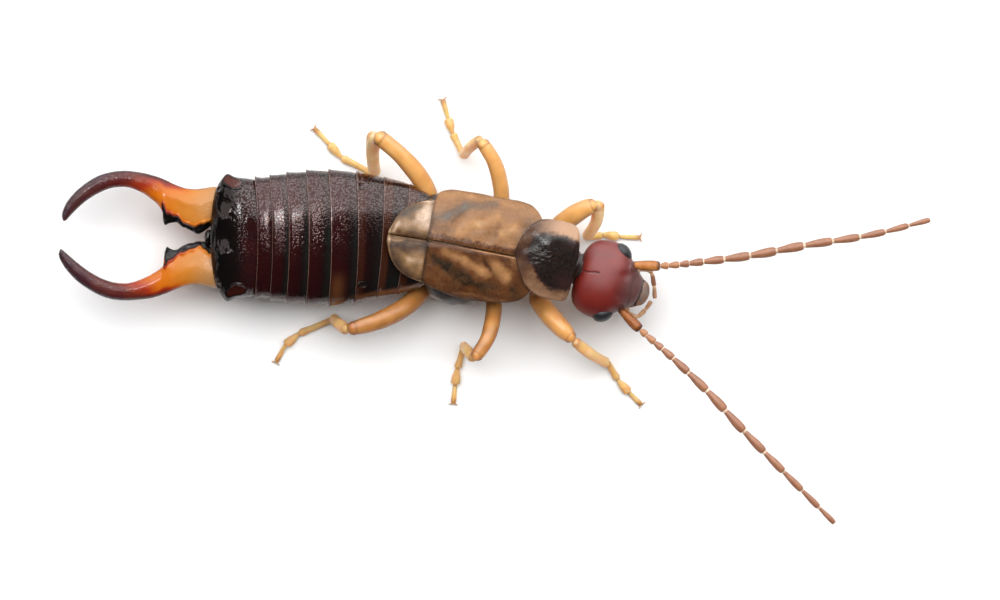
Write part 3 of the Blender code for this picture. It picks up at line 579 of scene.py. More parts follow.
def makeSegment(number):
    # Superellipse rings from the tuck to the rim. The offset from the body's profile rises to the rim,
    # and bow, slant and flare move a ring's points by how far aside they are.
    low, high = segmentBoxes[number - 1]
    front, rear = high.x / mm + abdomen["lap"], low.x / mm - abdomen["lap"]
    length = front - rear
    share = np.r_[
        np.linspace(-abdomen["tuck"] / length, 0.9, abdomen["rows"]),
        np.linspace(0.91, 1, abdomen["rimRows"]),
    ]
    x = front - share * length
    offset = throughKnots(
        [-1, -0.10, 0.0, 0.35, 0.86, 0.95, 1.0],
        [-0.10, -0.05, abdomen["dip"], 0.0, 0.002, abdomen["rim"], abdomen["rim"] - 0.004], share,
    )
    # The hind edge turns in on itself, so that it has a rounded lip
    lip = np.array(abdomen["lip"])
    x = np.r_[x, rear + lip[:, 0]]
    offset = np.r_[offset, offset[-1] + lip[:, 1]]
    share = np.r_[share, np.ones(len(lip))]
    turn = np.arcsin(np.sin(np.linspace(0, 2 * np.pi, abdomen["columns"], endpoint=False)))
    below = easeBetween(abdomen["tergiteEdge"], abdomen["tergiteEdge"] - 0.10, turn)
    rings, lateral, angle = trunkRings(
        x, offset[:, None] + abdomen["below"] * below, abdomen["columns"], abdomen["square"]
    )
    width = throughKnots(profileKnots, profileSizes[:, 0], x)[:, None]
    ahead = easeBetween(-4.6, -1.9, x)[:, None]
    rings[..., 0] += abdomen["bow"] * (1 - 0.7 * ahead) * (0.3 - np.abs(lateral / width) ** 2.4)
    rings[..., 0] += abdomen["slant"] * ahead * lateral
    corner = easeBetween(0.35, 1.0, share)[:, None] * easeBetween(0.70, 1.0, np.abs(np.cos(angle)))
    rings[..., 1] += np.sign(lateral) * abdomen["flare"] * corner * (number >= abdomen["flareFrom"])
    # A gland opens on each side of one segment: a black hollow behind a raised lip
    upper = np.clip(np.sin(angle), 0, 1)
    onLeft = lateral > 0
    glandAside = np.where(onLeft, abdomen["glandAside"]["left"], abdomen["glandAside"]["right"])
    away = np.hypot(
        (rings[..., 0] - abdomen["glandX"]) / abdomen["glandLong"],
        (np.abs(lateral) - glandAside) / abdomen["glandWide"],
    )
    glandHere = (number == abdomen["glandOn"]) * upper
    gland = glandHere * easeBetween(1.25, 0.85, away)
    rings[..., 2] += glandHere * (0.035 * hump(away, 1.2, 0.25) - 0.07 * hump(away, 0, 0.8))
    rings[..., 2] += 0.0015 * waves(rings, 0.5, number) * upper
    # Dark in front and maroon behind. The first segments are grey-black with a browner hind edge,
    # and a tan strip along each side.
    grey = abdomen["grey"].get(number, 0.0)
    hind = easeBetween(0.66, 0.82, share + 0.04 * waves(rings, 0.4, 30 + number)[:, 0])[:, None]
    darkTo = abdomen["darkTo"].get(number, abdomen["darkUsual"])
    tone = 0.93 * easeBetween(0.05, darkTo, share)[:, None] + 0.06 * waves(rings, 0.35, 20 + number)
    tone = tone * (1 - grey * (1 - 0.6 * hind)) * (1 - gland)
    rimLine = easeBetween(0.960, 0.978, share)[:, None]
    tone = np.clip(tone, 0, 0.93) * (1 - rimLine) + rimLine
    tanTop = np.where(onLeft, abdomen["tanTop"]["left"], abdomen["tanTop"]["right"])
    strip = easeBetween(tanTop, tanTop - 0.18, turn) * easeBetween(-0.2, 0.0, turn) * grey
    ember = 0.5 * (number == abdomen["emberOn"]) * easeBetween(-0.9, -1.5, lateral)
    ember = ember * hump(share, 0.72, 0.25)[:, None]
    mask = np.clip(below * 0.75 + 0.9 * strip + 0.20 * hind * grey + ember, 0, 1)
    mask = mask * (1 - rimLine) * (1 - gland)
    piece = putSkin(f"segment{number}", rings, horn["abdomen"], {"tone": tone, "mask": mask})
    dress(piece, "abdomen", segmentNames[number - 1])


for number in range(1, 10):
    makeSegment(number)
print("abdomen segments:", len(segmentNames))


# Last segment: a glossy block with corner knobs, two humps over the forceps and a middle furrow

tail = {
    "rows": 220, "columns": 300, "square": 3.3,
    "knots": (-6.92, -7.07, -7.22, -7.60, -7.95, -8.15, -8.30, -8.42, -8.50),
    "half": (1.63, 1.71, 1.76, 1.80, 1.81, 1.79, 1.73, 1.62, 1.46),
    "top": (2.39, 2.425, 2.442, 2.45, 2.41, 2.36, 2.28, 2.18, 2.08),
    "under": (0.84, 0.80, 0.78, 0.80, 0.86, 0.92, 0.97, 1.02, 1.06),
    "humpX": -8.22, "humpAside": 0.56, "humpSize": 0.24, "humpHeight": 0.13,
    "cornerX": -8.03, "cornerSize": 0.17, "cornerHeight": 0.13,
    "pitX": -8.26, "pitAside": 1.42, "pitSize": 0.085,
    # an amber window on each side; the right one lies further forward and further in
    "windowX": -7.86, "windowAside": 1.61, "windowLong": 0.29, "windowWide": 0.16,
    "rightForward": 0.12, "rightIn": 0.05, "windowDeep": {"left": 0.8, "right": 0.35},
    "lip": ((-0.012, -0.03), (-0.018, -0.07), (-0.02, -0.14), (-0.02, -0.30), (-0.02, -0.60)),
    "crinkles": ((0.62, 0.22, 1.0), (-0.25, 0.36, 1.0), (-1.45, 0.15, 0.5)),   # aside, width, strength
    "shineX": -7.28, "shineAside": 0.36, "shineLong": 0.22, "shineWide": 0.30, "shineHeight": 0.014,
}


def makeTail():
    # Superellipse rings through the knots' half widths, tops and undersides. lip holds what each last
    # ring adds forward and out. Humps, pits and windows are bell curves added to the height.
    share = np.linspace(0, 1, tail["rows"])
    x = throughKnots(np.linspace(0, 1, len(tail["knots"])), tail["knots"], share)
    order = np.argsort(tail["knots"])
    sizes = np.stack([tail["half"], tail["top"], tail["under"]], 1)
    sizes = throughKnots(np.array(tail["knots"])[order], sizes[order], x)
    lip = np.array(tail["lip"])
    offset = np.r_[np.zeros(len(x)), lip[:, 1]]
    x = np.r_[x, x[-1] + lip[:, 0]]
    sizes = np.r_[sizes, np.repeat(sizes[-1:], len(lip), axis=0)]
    boxier = easeBetween(-7.1, -7.6, x)[:, None]
    square = abdomen["square"] + (tail["square"] - abdomen["square"]) * boxier
    rings, lateral, angle = trunkRings(x, offset, tail["columns"], square, sizes)
    # The hind edge bows back in the middle, and the front one like the other segments
    bowed = easeBetween(-7.3, -8.2, x)[:, None]
    part = np.abs(lateral / sizes[:, :1])
    rings[..., 0] += (1 - bowed) * abdomen["bow"] * (0.3 - part ** 2.4) + bowed * 0.14 * part ** 2
    here, aside, onRight = rings[..., 0], np.abs(lateral), lateral < 0
    upper = easeBetween(-0.1, 0.5, np.sin(angle))
    rearward = easeBetween(-7.7, -8.1, here)
    lift = tail["humpHeight"] * hump(here, tail["humpX"], tail["humpSize"] * 0.8)
    lift = lift * hump(aside, tail["humpAside"], tail["humpSize"])
    lift -= 0.07 * hump(aside, 0, 0.16) * rearward
    crinkle = rearward * sum(much * hump(lateral, at, wide) for at, wide, much in tail["crinkles"])
    lift += 0.010 * rearward * waves(rings, 0.40, 5) + 0.022 * crinkle * waves(rings, 0.17, 6)
    lift += 0.008 * crinkle * waves(rings, 0.08, 7)
    ring = np.hypot(here - tail["pitX"], aside - tail["pitAside"])
    lift += 0.05 * hump(ring, tail["pitSize"], 0.028) - 0.03 * hump(ring, 0, 0.05)
    window = np.hypot(
        (here - tail["windowX"] - tail["rightForward"] * onRight) / tail["windowLong"],
        (aside - tail["windowAside"] + tail["rightIn"] * onRight) / tail["windowWide"],
    )
    lift += 0.035 * hump(window, 1.12, 0.16) - 0.055 * hump(window, 0, 0.8)
    # A low smooth swelling in front carries one clear highlight
    shine = hump(here, tail["shineX"], tail["shineLong"])
    shine = shine * hump(lateral, tail["shineAside"], tail["shineWide"])
    lift += tail["shineHeight"] * shine
    rings[..., 2] += lift * upper
    corner = hump(here, tail["cornerX"], tail["cornerSize"])
    corner = corner * easeBetween(0.2, 0.9, np.abs(np.cos(angle)))
    corner = corner * tail["cornerHeight"] * easeBetween(-0.6, 0.1, np.sin(angle))
    rings[..., 1] += np.sign(lateral) * corner
    rings[..., 2] += 0.002 * waves(rings, 0.1, 8) * upper
    tone = np.clip(easeBetween(-8.05, -7.35, here) * 0.9 + 0.12 * waves(rings, 0.5, 9), 0, 1)
    deep = np.where(onRight, tail["windowDeep"]["right"], tail["windowDeep"]["left"])
    mask = (1 - easeBetween(0.80, 1.02, window)) * upper * deep
    mask = np.maximum(mask, 0.5 * easeBetween(-0.4, -0.8, np.sin(angle)))
    relief = (1.0 - easeBetween(0.45, 0.75, shine)) * (1 - 0.8 * rearward)
    relief = relief * easeBetween(-7.95, -7.55, here)
    piece = putSkin("lastSegment", rings, horn["tail"], {"tone": tone, "mask": mask, "relief": relief})
    dress(piece, "abdomen", "abdomen_10")


makeTail()


lobe = {
    "rows": 60, "columns": 40,
    "path": ((0.35, 0, 0.03), (0.17, 0, 0.03), (0.06, 0, 0.0)),   # from the solid's middle
    "radii": (0.27, 0.27, 0.24), "flat": 0.8, "end": 0.6, "tone": 0.2,
}


def makePygidium():
    # A small blunt lobe between the roots of the forceps: a short flattened tube with noise on it
    low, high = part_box("pygidium")
    middle = np.array((low + high) / 2) / mm
    rings, _, _ = limbRings(
        [middle + spot for spot in lobe["path"]], lobe["radii"],
        lobe["rows"], lobe["columns"], flat=lobe["flat"], end=lobe["end"],
    )
    rings[..., 2] += 0.02 * waves(rings, 0.15, 31)
    paint = {"tone": lobe["tone"], "mask": 0, "relief": 1}
    dress(putSkin("pygidium_lobe", rings, horn["tail"], paint), "abdomen", "pygidium")


makePygidium()
print("last segment")


# Forceps: each section spans an outer and an inner edge. Distances run back from the root, and
# offsets from the body's middle line. thick is each section's half height.

forceps = {
    "rootX": -8.42, "z": 1.55, "sag": 0.18, "rows": 520, "columns": 120,
    "left": {
        "outer": ((-0.12, 1.53), (0.04, 1.53), (0.20, 1.50), (0.42, 1.46), (0.64, 1.44), (0.89, 1.46),
                  (1.12, 1.53), (1.30, 1.60), (1.42, 1.66), (1.51, 1.695), (1.61, 1.735), (1.74, 1.78),
                  (1.93, 1.83), (2.23, 1.89), (2.68, 1.93), (3.12, 1.88), (3.58, 1.715), (4.06, 1.37),
                  (4.39, 0.99), (4.53, 0.70), (4.56, 0.51), (4.53, 0.40)),
        "inner": ((-0.12, 0.62), (0.05, 0.38), (0.22, 0.22), (0.40, 0.115), (0.62, 0.15), (0.88, 0.27),
                  (1.10, 0.40), (1.30, 0.385), (1.455, 0.35), (1.53, 0.48), (1.555, 0.70), (1.70, 0.93),
                  (1.92, 1.11), (2.19, 1.28), (2.58, 1.42), (3.02, 1.41), (3.42, 1.26), (3.80, 1.02),
                  (4.09, 0.76), (4.30, 0.53), (4.42, 0.39), (4.50, 0.35)),
    },
    "right": {
        "outer": ((-0.12, 1.50), (0.04, 1.50), (0.20, 1.47), (0.42, 1.43), (0.64, 1.41), (0.89, 1.45),
                  (1.12, 1.53), (1.30, 1.61), (1.42, 1.66), (1.51, 1.69), (1.61, 1.73), (1.74, 1.77),
                  (1.93, 1.82), (2.23, 1.86), (2.68, 1.885), (3.12, 1.84), (3.57, 1.67), (4.08, 1.34),
                  (4.43, 0.98), (4.62, 0.68), (4.67, 0.50), (4.63, 0.36)),
        "inner": ((-0.12, 0.62), (0.02, 0.34), (0.15, 0.22), (0.30, 0.13), (0.46, 0.09), (0.68, 0.15),
                  (0.94, 0.255), (1.19, 0.355), (1.40, 0.285), (1.485, 0.37), (1.50, 0.52),
                  (1.475, 0.74), (1.70, 0.98), (2.12, 1.21), (2.56, 1.355), (3.00, 1.34), (3.42, 1.20),
                  (3.82, 0.965), (4.12, 0.735), (4.36, 0.53), (4.52, 0.39), (4.60, 0.33)),
    },
    "thick": (0.40, 0.40, 0.40, 0.39, 0.36, 0.33, 0.31, 0.30, 0.29, 0.29, 0.285, 0.28, 0.275, 0.27,
              0.26, 0.26, 0.25, 0.24, 0.21, 0.17, 0.13, 0.07),
    "toothShare": 0.45,        # the share of the rows where the flange ends in its tooth
    "flangeFrom": -0.70, "flangeThin": 0.42,   # where it starts, from 1 outside to -1 inside
    "toothWide": 0.42, "toothAt": 0.92, "toothLong": 0.17,
    "knobs": 7.5, "knobHeight": 0.035, "knobRise": 0.04,
    "crestHeight": 0.030, "crestRipple": 0.012, "swell": 0.04, "unevenness": 0.003,
    "square": 2.15,
    "swing": {"left": 1.8, "right": 0.0},   # how many degrees each arm is turned outward
    "pivot": 0.95,             # and how far aside of the middle line it turns
}


def makeArm(sideName, sign):
    # Each row is a superellipse from the inner to the outer edge, plus bell curves for crest and knobs
    knots = np.linspace(0, 1, len(forceps["thick"]))
    share = np.linspace(0, 1, forceps["rows"])
    outer = throughKnots(knots, forceps[sideName]["outer"], share, calm=False)
    inner = throughKnots(knots, forceps[sideName]["inner"], share, calm=False)
    thick = throughKnots(knots, forceps["thick"], share)
    angle = np.linspace(0, 2 * np.pi, forceps["columns"], endpoint=False)
    across, rise = roundedSquare(angle, forceps["square"])
    # across is 1 at the outer edge and -1 at the inner one
    middle, reach = (outer + inner) / 2, (outer - inner) / 2
    flat = middle[:, None] + reach[:, None] * across[None, :, None]
    root = (1 - easeBetween(forceps["toothShare"], forceps["toothShare"] + 0.05, share))[:, None]
    root = root * easeBetween(0.03, 0.08, share)[:, None]
    # The root's inner edge thins to a flange with a row of uneven black knobs along it. It is widest
    # at its tooth, and a sharp crest runs between it and the orange part.
    shares = share / forceps["toothShare"]
    wobble = 0.05 * np.sin(share * 41.0 + 2 * sign) + 0.03 * np.sin(share * 97.0)
    tooth = forceps["toothWide"] * hump(shares, forceps["toothAt"], forceps["toothLong"])
    start = (forceps["flangeFrom"] + wobble + tooth + 0.08 * hump(shares, 0.25, 0.10))[:, None]
    flange = easeBetween(start, start - 0.10, across[None, :]) * root
    row = np.sin(np.pi * forceps["knobs"] * shares + 0.8 * np.sin(shares * 9.0 + 2 * sign))
    knob = np.clip(row, 0, 1)[:, None] ** 0.7
    flat[..., 1] -= forceps["knobHeight"] * (knob - 0.4) * easeBetween(-0.6, -1, across)[None, :] * root
    swing = math.radians(forceps["swing"][sideName])
    back, aside = flat[..., 0], flat[..., 1] - forceps["pivot"]
    rings = np.empty((*back.shape, 3))
    rings[..., 0] = forceps["rootX"] - back * math.cos(swing) + aside * math.sin(swing)
    outward = forceps["pivot"] + aside * math.cos(swing) + back * math.sin(swing)
    rings[..., 1] = bodyMiddle + sign * outward
    drop = forceps["sag"] * np.sin(np.pi * share)
    height = rise[None, :] * thick[:, None] * (1 - forceps["flangeThin"] * flange)
    crest = hump(across[None, :], start + 0.05, 0.055) * (rise > 0) * root
    raised = forceps["knobRise"] * knob * flange * (rise > 0) * hump(across, -0.90, 0.10)[None, :]
    ripple = forceps["crestRipple"] * np.sin(share * 120.0)[:, None]
    height = height + raised
    height = height + crest * (forceps["crestHeight"] + ripple)
    swell = (1 - easeBetween(0.20, 0.46, share))[:, None]
    height = height + forceps["swell"] * hump(across, 0.30, 0.30)[None, :] * (rise > 0) * swell
    rings[..., 2] = forceps["z"] - drop[:, None] + height
    arc = easeBetween(0.50, 0.70, share)[:, None]
    rings[..., 2] += forceps["unevenness"] * waves(rings, 0.30, 41) * (rise > 0)
    behind = middle[:, :1] / outer[-1, 0]
    tone = behind + 0.10 * easeBetween(0.28, 0.48, behind) * across[None, :]
    tone = tone + 0.02 * waves(rings, 0.6, 42)
    # A darker red band beside the flange: painted shadow along the flange's edge
    tone = tone + 0.20 * easeBetween(start + 0.30, start, across[None, :]) * root
    tone = tone + 0.20 * easeBetween(0.55, 0.95, across)[None, :] * easeBetween(0.06, 0.24, behind)
    stub = hump(share, forceps["toothShare"] - 0.02, 0.030)[:, None]
    stub = stub * easeBetween(-0.15, -0.5, across)[None, :]
    rim = 0.60 * easeBetween(0.92, 1.0, across)[None, :] * easeBetween(0.03, 0.12, share)[:, None]
    dark = np.clip(np.maximum(np.maximum(flange * 1.5, rim), stub), 0, 1)
    speckle = hump(share, 0.08, 0.10)[:, None] * hump(across, 0.1, 0.7)[None, :]
    relief = 0.05 + 0.9 * arc + 0.5 * flange + 0.8 * speckle
    paint = {"tone": tone, "mask": dark, "relief": relief}
    dress(putSkin(f"forceps_{sideName}", rings, horn["cercus"], paint), "cercus", f"cercus_{sideName}")


for sideName, sign in sides.items():
    makeArm(sideName, sign)
print("forceps")


# Thin plates: wing cases, wing tips, pronotum and upper lip. A plate's rows run forward, and each row
# is a thin rounded strip from its inner to its outer edge, bent to the height function. The strip is
# the sine to the power of 0.35 high, and thins by an eighth power towards both ends.
def plateRings(knots, inner, outer, rows, columns, thick, height, sign, place):
    share = (1 - np.cos(np.linspace(0.02, np.pi - 0.02, rows))) / 2
    forward = knots[0] + (knots[-1] - knots[0]) * share
    low = throughKnots(knots, inner, forward)[:, None]
    high = throughKnots(knots, outer, forward)[:, None]
    angle = np.linspace(0, 2 * np.pi, columns, endpoint=False)[None, :]
    across = np.cos(angle)
    across = 0.35 * across + 0.65 * np.sin(across * np.pi / 2)
    rise = np.sign(np.sin(angle)) * np.abs(np.sin(angle)) ** 0.35
    lateral = (low + high) / 2 + across * (high - low) / 2
    ends = np.sqrt(np.clip(1 - (2 * share - 1) ** 8, 0.02, 1))[:, None]
    f = forward[:, None] * np.ones_like(lateral)
    above = rise > 0
    z = height(f, lateral, above) + (rise - 1) * thick / 2 * ends
    rings = np.stack([f, sign * lateral, z], -1)
    return turned(rings, place), f, lateral, above


thoraxPlace = ((-0.40, 1.78, 0.0), -9.0)
wingCase = {
    "rows": 190, "columns": 380, "thick": 0.10,
    "seamAside": 0.02, "seamLean": -0.034,   # the line where the two cases meet
    "left": ((-1.64, 1.05), (-1.615, 1.22), (-1.556, 1.46), (-1.366, 1.60), (-1.075, 1.67),
             (-0.356, 1.675), (0.185, 1.645), (0.782, 1.645), (1.21, 1.59), (1.4765, 1.42),
             (1.66, 1.18)),
    "right": ((-1.64, 1.02), (-1.60, 1.16), (-1.50, 1.24), (-1.34, 1.30), (-0.95, 1.42), (-0.324, 1.53),
              (0.381, 1.50), (0.853, 1.45), (1.255, 1.34), (1.52, 1.12), (1.66, 0.90)),
    "z": 2.87, "crown": 0.10, "fall": 0.36, "from": 0.95, "roll": 0.72,
    "lean": {"left": 0.02, "right": 0.11},   # how steeply each case slopes away from the seam
    "raised": {"left": 0.014, "right": 0.0},   # the left case lies over the right one
    # the right case's lower base tone is painted shade, as that case slopes away from the lamps
    "baseTone": {"left": 0.50, "right": 0.27}, "baseGrey": {"left": 0.10, "right": 0.0},
    # Each streak's two ends as (forward, aside), its width, how much lighter and how much greyer
    "marks": {
        "left": (
            ((-1.51, 0.75), (-1.19, 0.86), 0.12, -0.12, 0.30),
            ((-1.19, 0.86), (-0.67, 1.20), 0.15, -0.17, 0.45),
            ((-0.67, 1.22), (0.18, 1.42), 0.12, -0.12, 0.36),
            ((-0.98, 0.72), (-0.68, 1.07), 0.06, -0.10, 0.10),
            ((-0.75, 0.46), (-0.20, 0.76), 0.17, 0.24, -0.12),
            ((-0.20, 0.77), (0.32, 1.06), 0.15, 0.20, -0.08),
            ((0.52, 0.60), (0.90, 0.86), 0.14, 0.30, -0.08),
            ((-1.43, 1.44), (-0.60, 1.58), 0.09, 0.20, 0.0),
            ((-0.60, 1.57), (0.94, 1.48), 0.08, 0.14, 0.0),
            ((1.10, 0.45), (1.35, 1.10), 0.18, -0.08, 0.16),
            ((0.32, 0.50), (0.38, 0.84), 0.07, -0.12, 0.04),
            ((-1.50, 0.45), (-0.95, 0.52), 0.12, -0.06, 0.08),
        ),
        "right": (
            ((-1.10, 0.24), (-0.45, 0.34), 0.12, 0.22, 0.0),
            ((-1.40, 0.44), (-0.86, 0.66), 0.12, -0.20, 0.0),
            ((-0.86, 0.66), (-0.33, 0.94), 0.15, -0.27, 0.0),
            ((-0.33, 0.94), (0.19, 1.08), 0.13, -0.20, 0.0),
            ((0.19, 1.08), (0.65, 0.97), 0.13, -0.14, 0.0),
            ((-0.36, 0.42), (0.05, 0.55), 0.15, 0.30, 0.0),
            ((0.05, 0.55), (0.30, 0.69), 0.12, 0.24, 0.0),
            ((0.50, 0.42), (0.90, 0.66), 0.16, 0.36, 0.0),
            ((0.16, 0.26), (0.34, 0.52), 0.05, -0.18, 0.0),
            ((-1.48, 0.95), (-1.07, 1.21), 0.13, 0.05, 0.0),
            ((-0.60, 1.38), (0.90, 1.38), 0.06, 0.10, 0.0),
            ((1.08, 1.02), (1.36, 1.22), 0.14, -0.14, 0.0),
            ((0.95, 0.15), (1.40, 0.40), 0.12, 0.16, 0.06),
        ),
    },
}


def caseHeight(f, lateral, above):
    # Gently crowned by the square of the way aside, then rolled down by a higher power of the way past
    # "from", and lowered in front, where the pronotum lies over it
    beyond = np.clip((lateral - wingCase["from"]) / wingCase["roll"], 0, None)
    height = wingCase["z"] - wingCase["crown"] * (lateral / 1.6) ** 2 - wingCase["fall"] * beyond ** 2.2
    height = height - 0.15 * easeBetween(-0.4, 1.9, f) - 0.04 * easeBetween(-1.2, -1.66, f)
    seamRoll = -0.02 * hump(lateral, 0.0, 0.04) + 0.012 * hump(lateral, 0.14, 0.08)
    keel = 0.008 * hump(lateral, 1.22, 0.06)
    fold = -0.005 * hump(lateral - 0.62 - 0.20 * f, 0.0, 0.05) * easeBetween(-1.2, 0.3, f)
    return height + (seamRoll + keel + fold) * above


def makeWingCase(sideName, sign):
    # A plate between the seam and the outline, leaning away from the seam. Its colour is a base tone
    # plus its streaks, read at places that smooth noise has moved.
    outline = np.array(wingCase[sideName])
    knots = outline[:, 0]
    seam = sign * (wingCase["seamAside"] + wingCase["seamLean"] * knots)

    def leaning(f, lateral, above):
        return caseHeight(f, lateral, above) - wingCase["lean"][sideName] * lateral

    rings, f, lateral, above = plateRings(
        knots, seam - 0.012, outline[:, 1], wingCase["rows"], wingCase["columns"], wingCase["thick"],
        leaning, sign, thoraxPlace,
    )
    bare = lateral - sign * (wingCase["seamAside"] + wingCase["seamLean"] * f)
    rings[..., 2] += 0.008 * waves(rings, 0.45, 50 + sign) * above + wingCase["raised"][sideName]
    rings[..., 2] -= 0.03 * hump(bare, 0.0, 0.03) * above
    warpF = f + 0.05 * waves(rings, 0.7, 52 + sign) + 0.02 * waves(rings, 0.25, 53 + sign)
    warpAside = lateral + 0.04 * waves(rings, 0.7, 54 + sign) + 0.015 * waves(rings, 0.25, 55 + sign)
    tone = wingCase["baseTone"][sideName] + 0.04 * waves(rings, 0.7, 56 + sign)
    tone = tone + 0.03 * waves(rings, 0.14, 57 + sign)
    mask = wingCase["baseGrey"][sideName] + 0.05 * waves(rings, 0.4, 58 + sign)
    for start, end, width, lighter, greyer in wingCase["marks"][sideName]:
        blot = streak(warpF, warpAside, start, end, width)
        tone = tone + lighter * blot
        mask = mask + greyer * blot
    if sign > 0:
        # The left case lies over the right one, with a speckled dark strip along its edge
        ragged = bare + 0.03 * waves(rings, 0.2, 59)
        strip = easeBetween(0.03, 0.06, bare) * easeBetween(0.28, 0.14, ragged)
        tone = tone - (0.24 + 0.10 * waves(rings, 0.08, 60)) * strip * easeBetween(1.7, 1.2, f)
        mask = mask * (1 - 0.8 * strip)
    else:
        # The right case has a cream line beside the seam, brightest in front
        tone = tone + 0.34 * hump(bare, 0.055, 0.020) * easeBetween(-0.9, 0.0, f)
    tone = tone - 0.40 * hump(bare, 0.0, 0.022) - 0.18 * easeBetween(-1.50, -1.62, f)
    fromRim = throughKnots(knots, outline[:, 1], f[:, 0])[:, None] - lateral
    tone = tone - 0.12 * easeBetween(0.05, 0.0, fromRim)
    paint = {"tone": np.clip(tone, 0.02, 1), "mask": np.clip(mask, 0, 1)}
    piece = putSkin(f"wingCase_{sideName}", rings, horn["tegmen"], paint)
    dress(piece, "tegmen", f"tegmen_{sideName}")


wingTip = {
    "rows": 120, "columns": 280, "thick": 0.34, "seamAside": 0.045, "z": 2.72,
    "foldHeight": 0.004, "foldTurns": 14,
    "left": ((-2.84, 0.12), (-2.82, 0.20), (-2.76, 0.34), (-2.68, 0.56), (-2.50, 0.83), (-2.24, 1.05),
             (-1.90, 1.20), (-1.46, 1.29)),
    "right": ((-2.84, 0.16), (-2.81, 0.28), (-2.76, 0.42), (-2.63, 0.68), (-2.34, 0.98), (-2.00, 1.14),
              (-1.72, 1.20), (-1.46, 1.22)),
    "marks": {
        "left": (
            ((-1.62, 0.55), (-1.72, 0.92), 0.34, 0.62, -0.15),
            ((-2.05, 0.60), (-2.45, 0.34), 0.20, 0.24, -0.05),
            ((-1.60, 0.16), (-2.50, 0.16), 0.12, -0.24, 0.0),
            ((-2.05, 1.00), (-2.45, 0.72), 0.15, -0.10, 0.60),
            ((-2.70, 0.16), (-2.60, 0.45), 0.08, 0.40, 0.0),
        ),
        "right": (
            ((-1.66, 0.62), (-2.00, 0.66), 0.26, 0.26, -0.05),
            ((-2.10, 0.60), (-2.40, 0.45), 0.16, 0.08, 0.0),
            ((-1.60, 0.16), (-2.60, 0.22), 0.20, -0.34, 0.0),
            ((-2.05, 1.00), (-2.60, 0.62), 0.16, -0.20, 0.20),
            ((-2.72, 0.06), (-2.40, 0.06), 0.05, 0.30, 0.0),
        ),
    },
}


def tipHeight(f, lateral, above):
    # Low folds fan out from the front seam, over a pack that thins towards its hind edge
    angle = np.arctan2(lateral + 0.25, -1.2 - f)
    folds = wingTip["foldHeight"] * np.cos(angle * wingTip["foldTurns"]) * easeBetween(-1.6, -1.9, f)
    down = 0.14 * easeBetween(-1.5, -2.85, f) ** 2 + 0.24 * (lateral / 1.2) ** 3
    return wingTip["z"] - down + folds * above - 0.04 * hump(lateral, 0.02, 0.05) * above


def makeWingTip(sideName, sign):
    # A thick plate behind the case, coloured like it, with a pale line round its hind edge
    outline = np.array(wingTip[sideName])
    inner = np.full(len(outline), sign * wingTip["seamAside"] + 0.006)
    rings, f, lateral, above = plateRings(
        outline[:, 0], inner, outline[:, 1], wingTip["rows"],
        wingTip["columns"], wingTip["thick"], tipHeight, sign, thoraxPlace,
    )
    warp = 0.05 * waves(rings, 0.4, 60 + sign)
    edge = np.hypot(np.clip(-1.7 - f, 0, None) / 1.14, lateral / 1.26) + 0.5 * warp
    tone = 0.40 + 0.05 * waves(rings, 0.2, 62 + sign) + 0.05 * waves(rings, 0.08, 63 + sign)
    mask = 0.12 + 0.10 * waves(rings, 0.3, 64 + sign)
    for start, end, width, lighter, greyer in wingTip["marks"][sideName]:
        blot = streak(f + warp, lateral - warp, start, end, width)
        tone = tone + lighter * blot
        mask = mask + greyer * blot
    tone = tone + 0.28 * hump(edge, 0.965, 0.025) - 0.10 * hump(edge, 0.90, 0.04)
    tone = tone - 0.25 * hump(f, -1.60, 0.05) - 0.30 * (1 - above)
    paint = {"tone": np.clip(tone, 0.02, 1), "mask": np.clip(mask, 0, 1)}
    piece = putSkin(f"wingTip_{sideName}", rings, horn["wing"], paint)
    dress(piece, "wing", f"hindwing_{sideName}")


for sideName, sign in sides.items():
    makeWingCase(sideName, sign)
    makeWingTip(sideName, sign)
print("wings")


collarPlace = ((1.50, 1.48, 0.0), -14.0)
collar = {
    "rows": 210, "columns": 440, "thick": 0.09, "z": 2.77, "dome": 0.14,
    "forward": (-0.96, -0.92, -0.88, -0.78, -0.61, -0.40, -0.10, 0.20, 0.50, 0.68, 0.80, 0.88, 0.93),
    "left": (0.06, 0.26, 0.44, 0.74, 0.99, 1.16, 1.24, 1.265, 1.26, 1.19, 1.03, 0.72, 0.40),
    "right": (0.00, 0.02, 0.12, 0.33, 0.60, 0.86, 1.03, 1.10, 1.09, 1.07, 1.05, 0.98, 0.70),
    # the black disc's edges, as forward and aside
    "discLeft": ((-0.62, 0.05), (-0.55, 0.34), (-0.47, 0.60), (-0.25, 0.79), (0.16, 0.84), (0.52, 0.84),
                 (0.95, 0.78)),
    "discRight": ((-0.58, 0.05), (-0.36, -0.22), (-0.10, -0.52), (0.15, -0.75), (0.46, -0.82),
                  (0.80, -0.74), (0.95, -0.60)),
    "dents": ((0.32, 0.03, 0.05), (0.48, 0.12, 0.04)),   # forward, aside and size
}


def discEdges(f):
    # Straight lines between the listed points
    left, right = np.array(collar["discLeft"]), np.array(collar["discRight"])
    return np.interp(f, left[:, 0], left[:, 1]), np.interp(f, right[:, 0], right[:, 1])


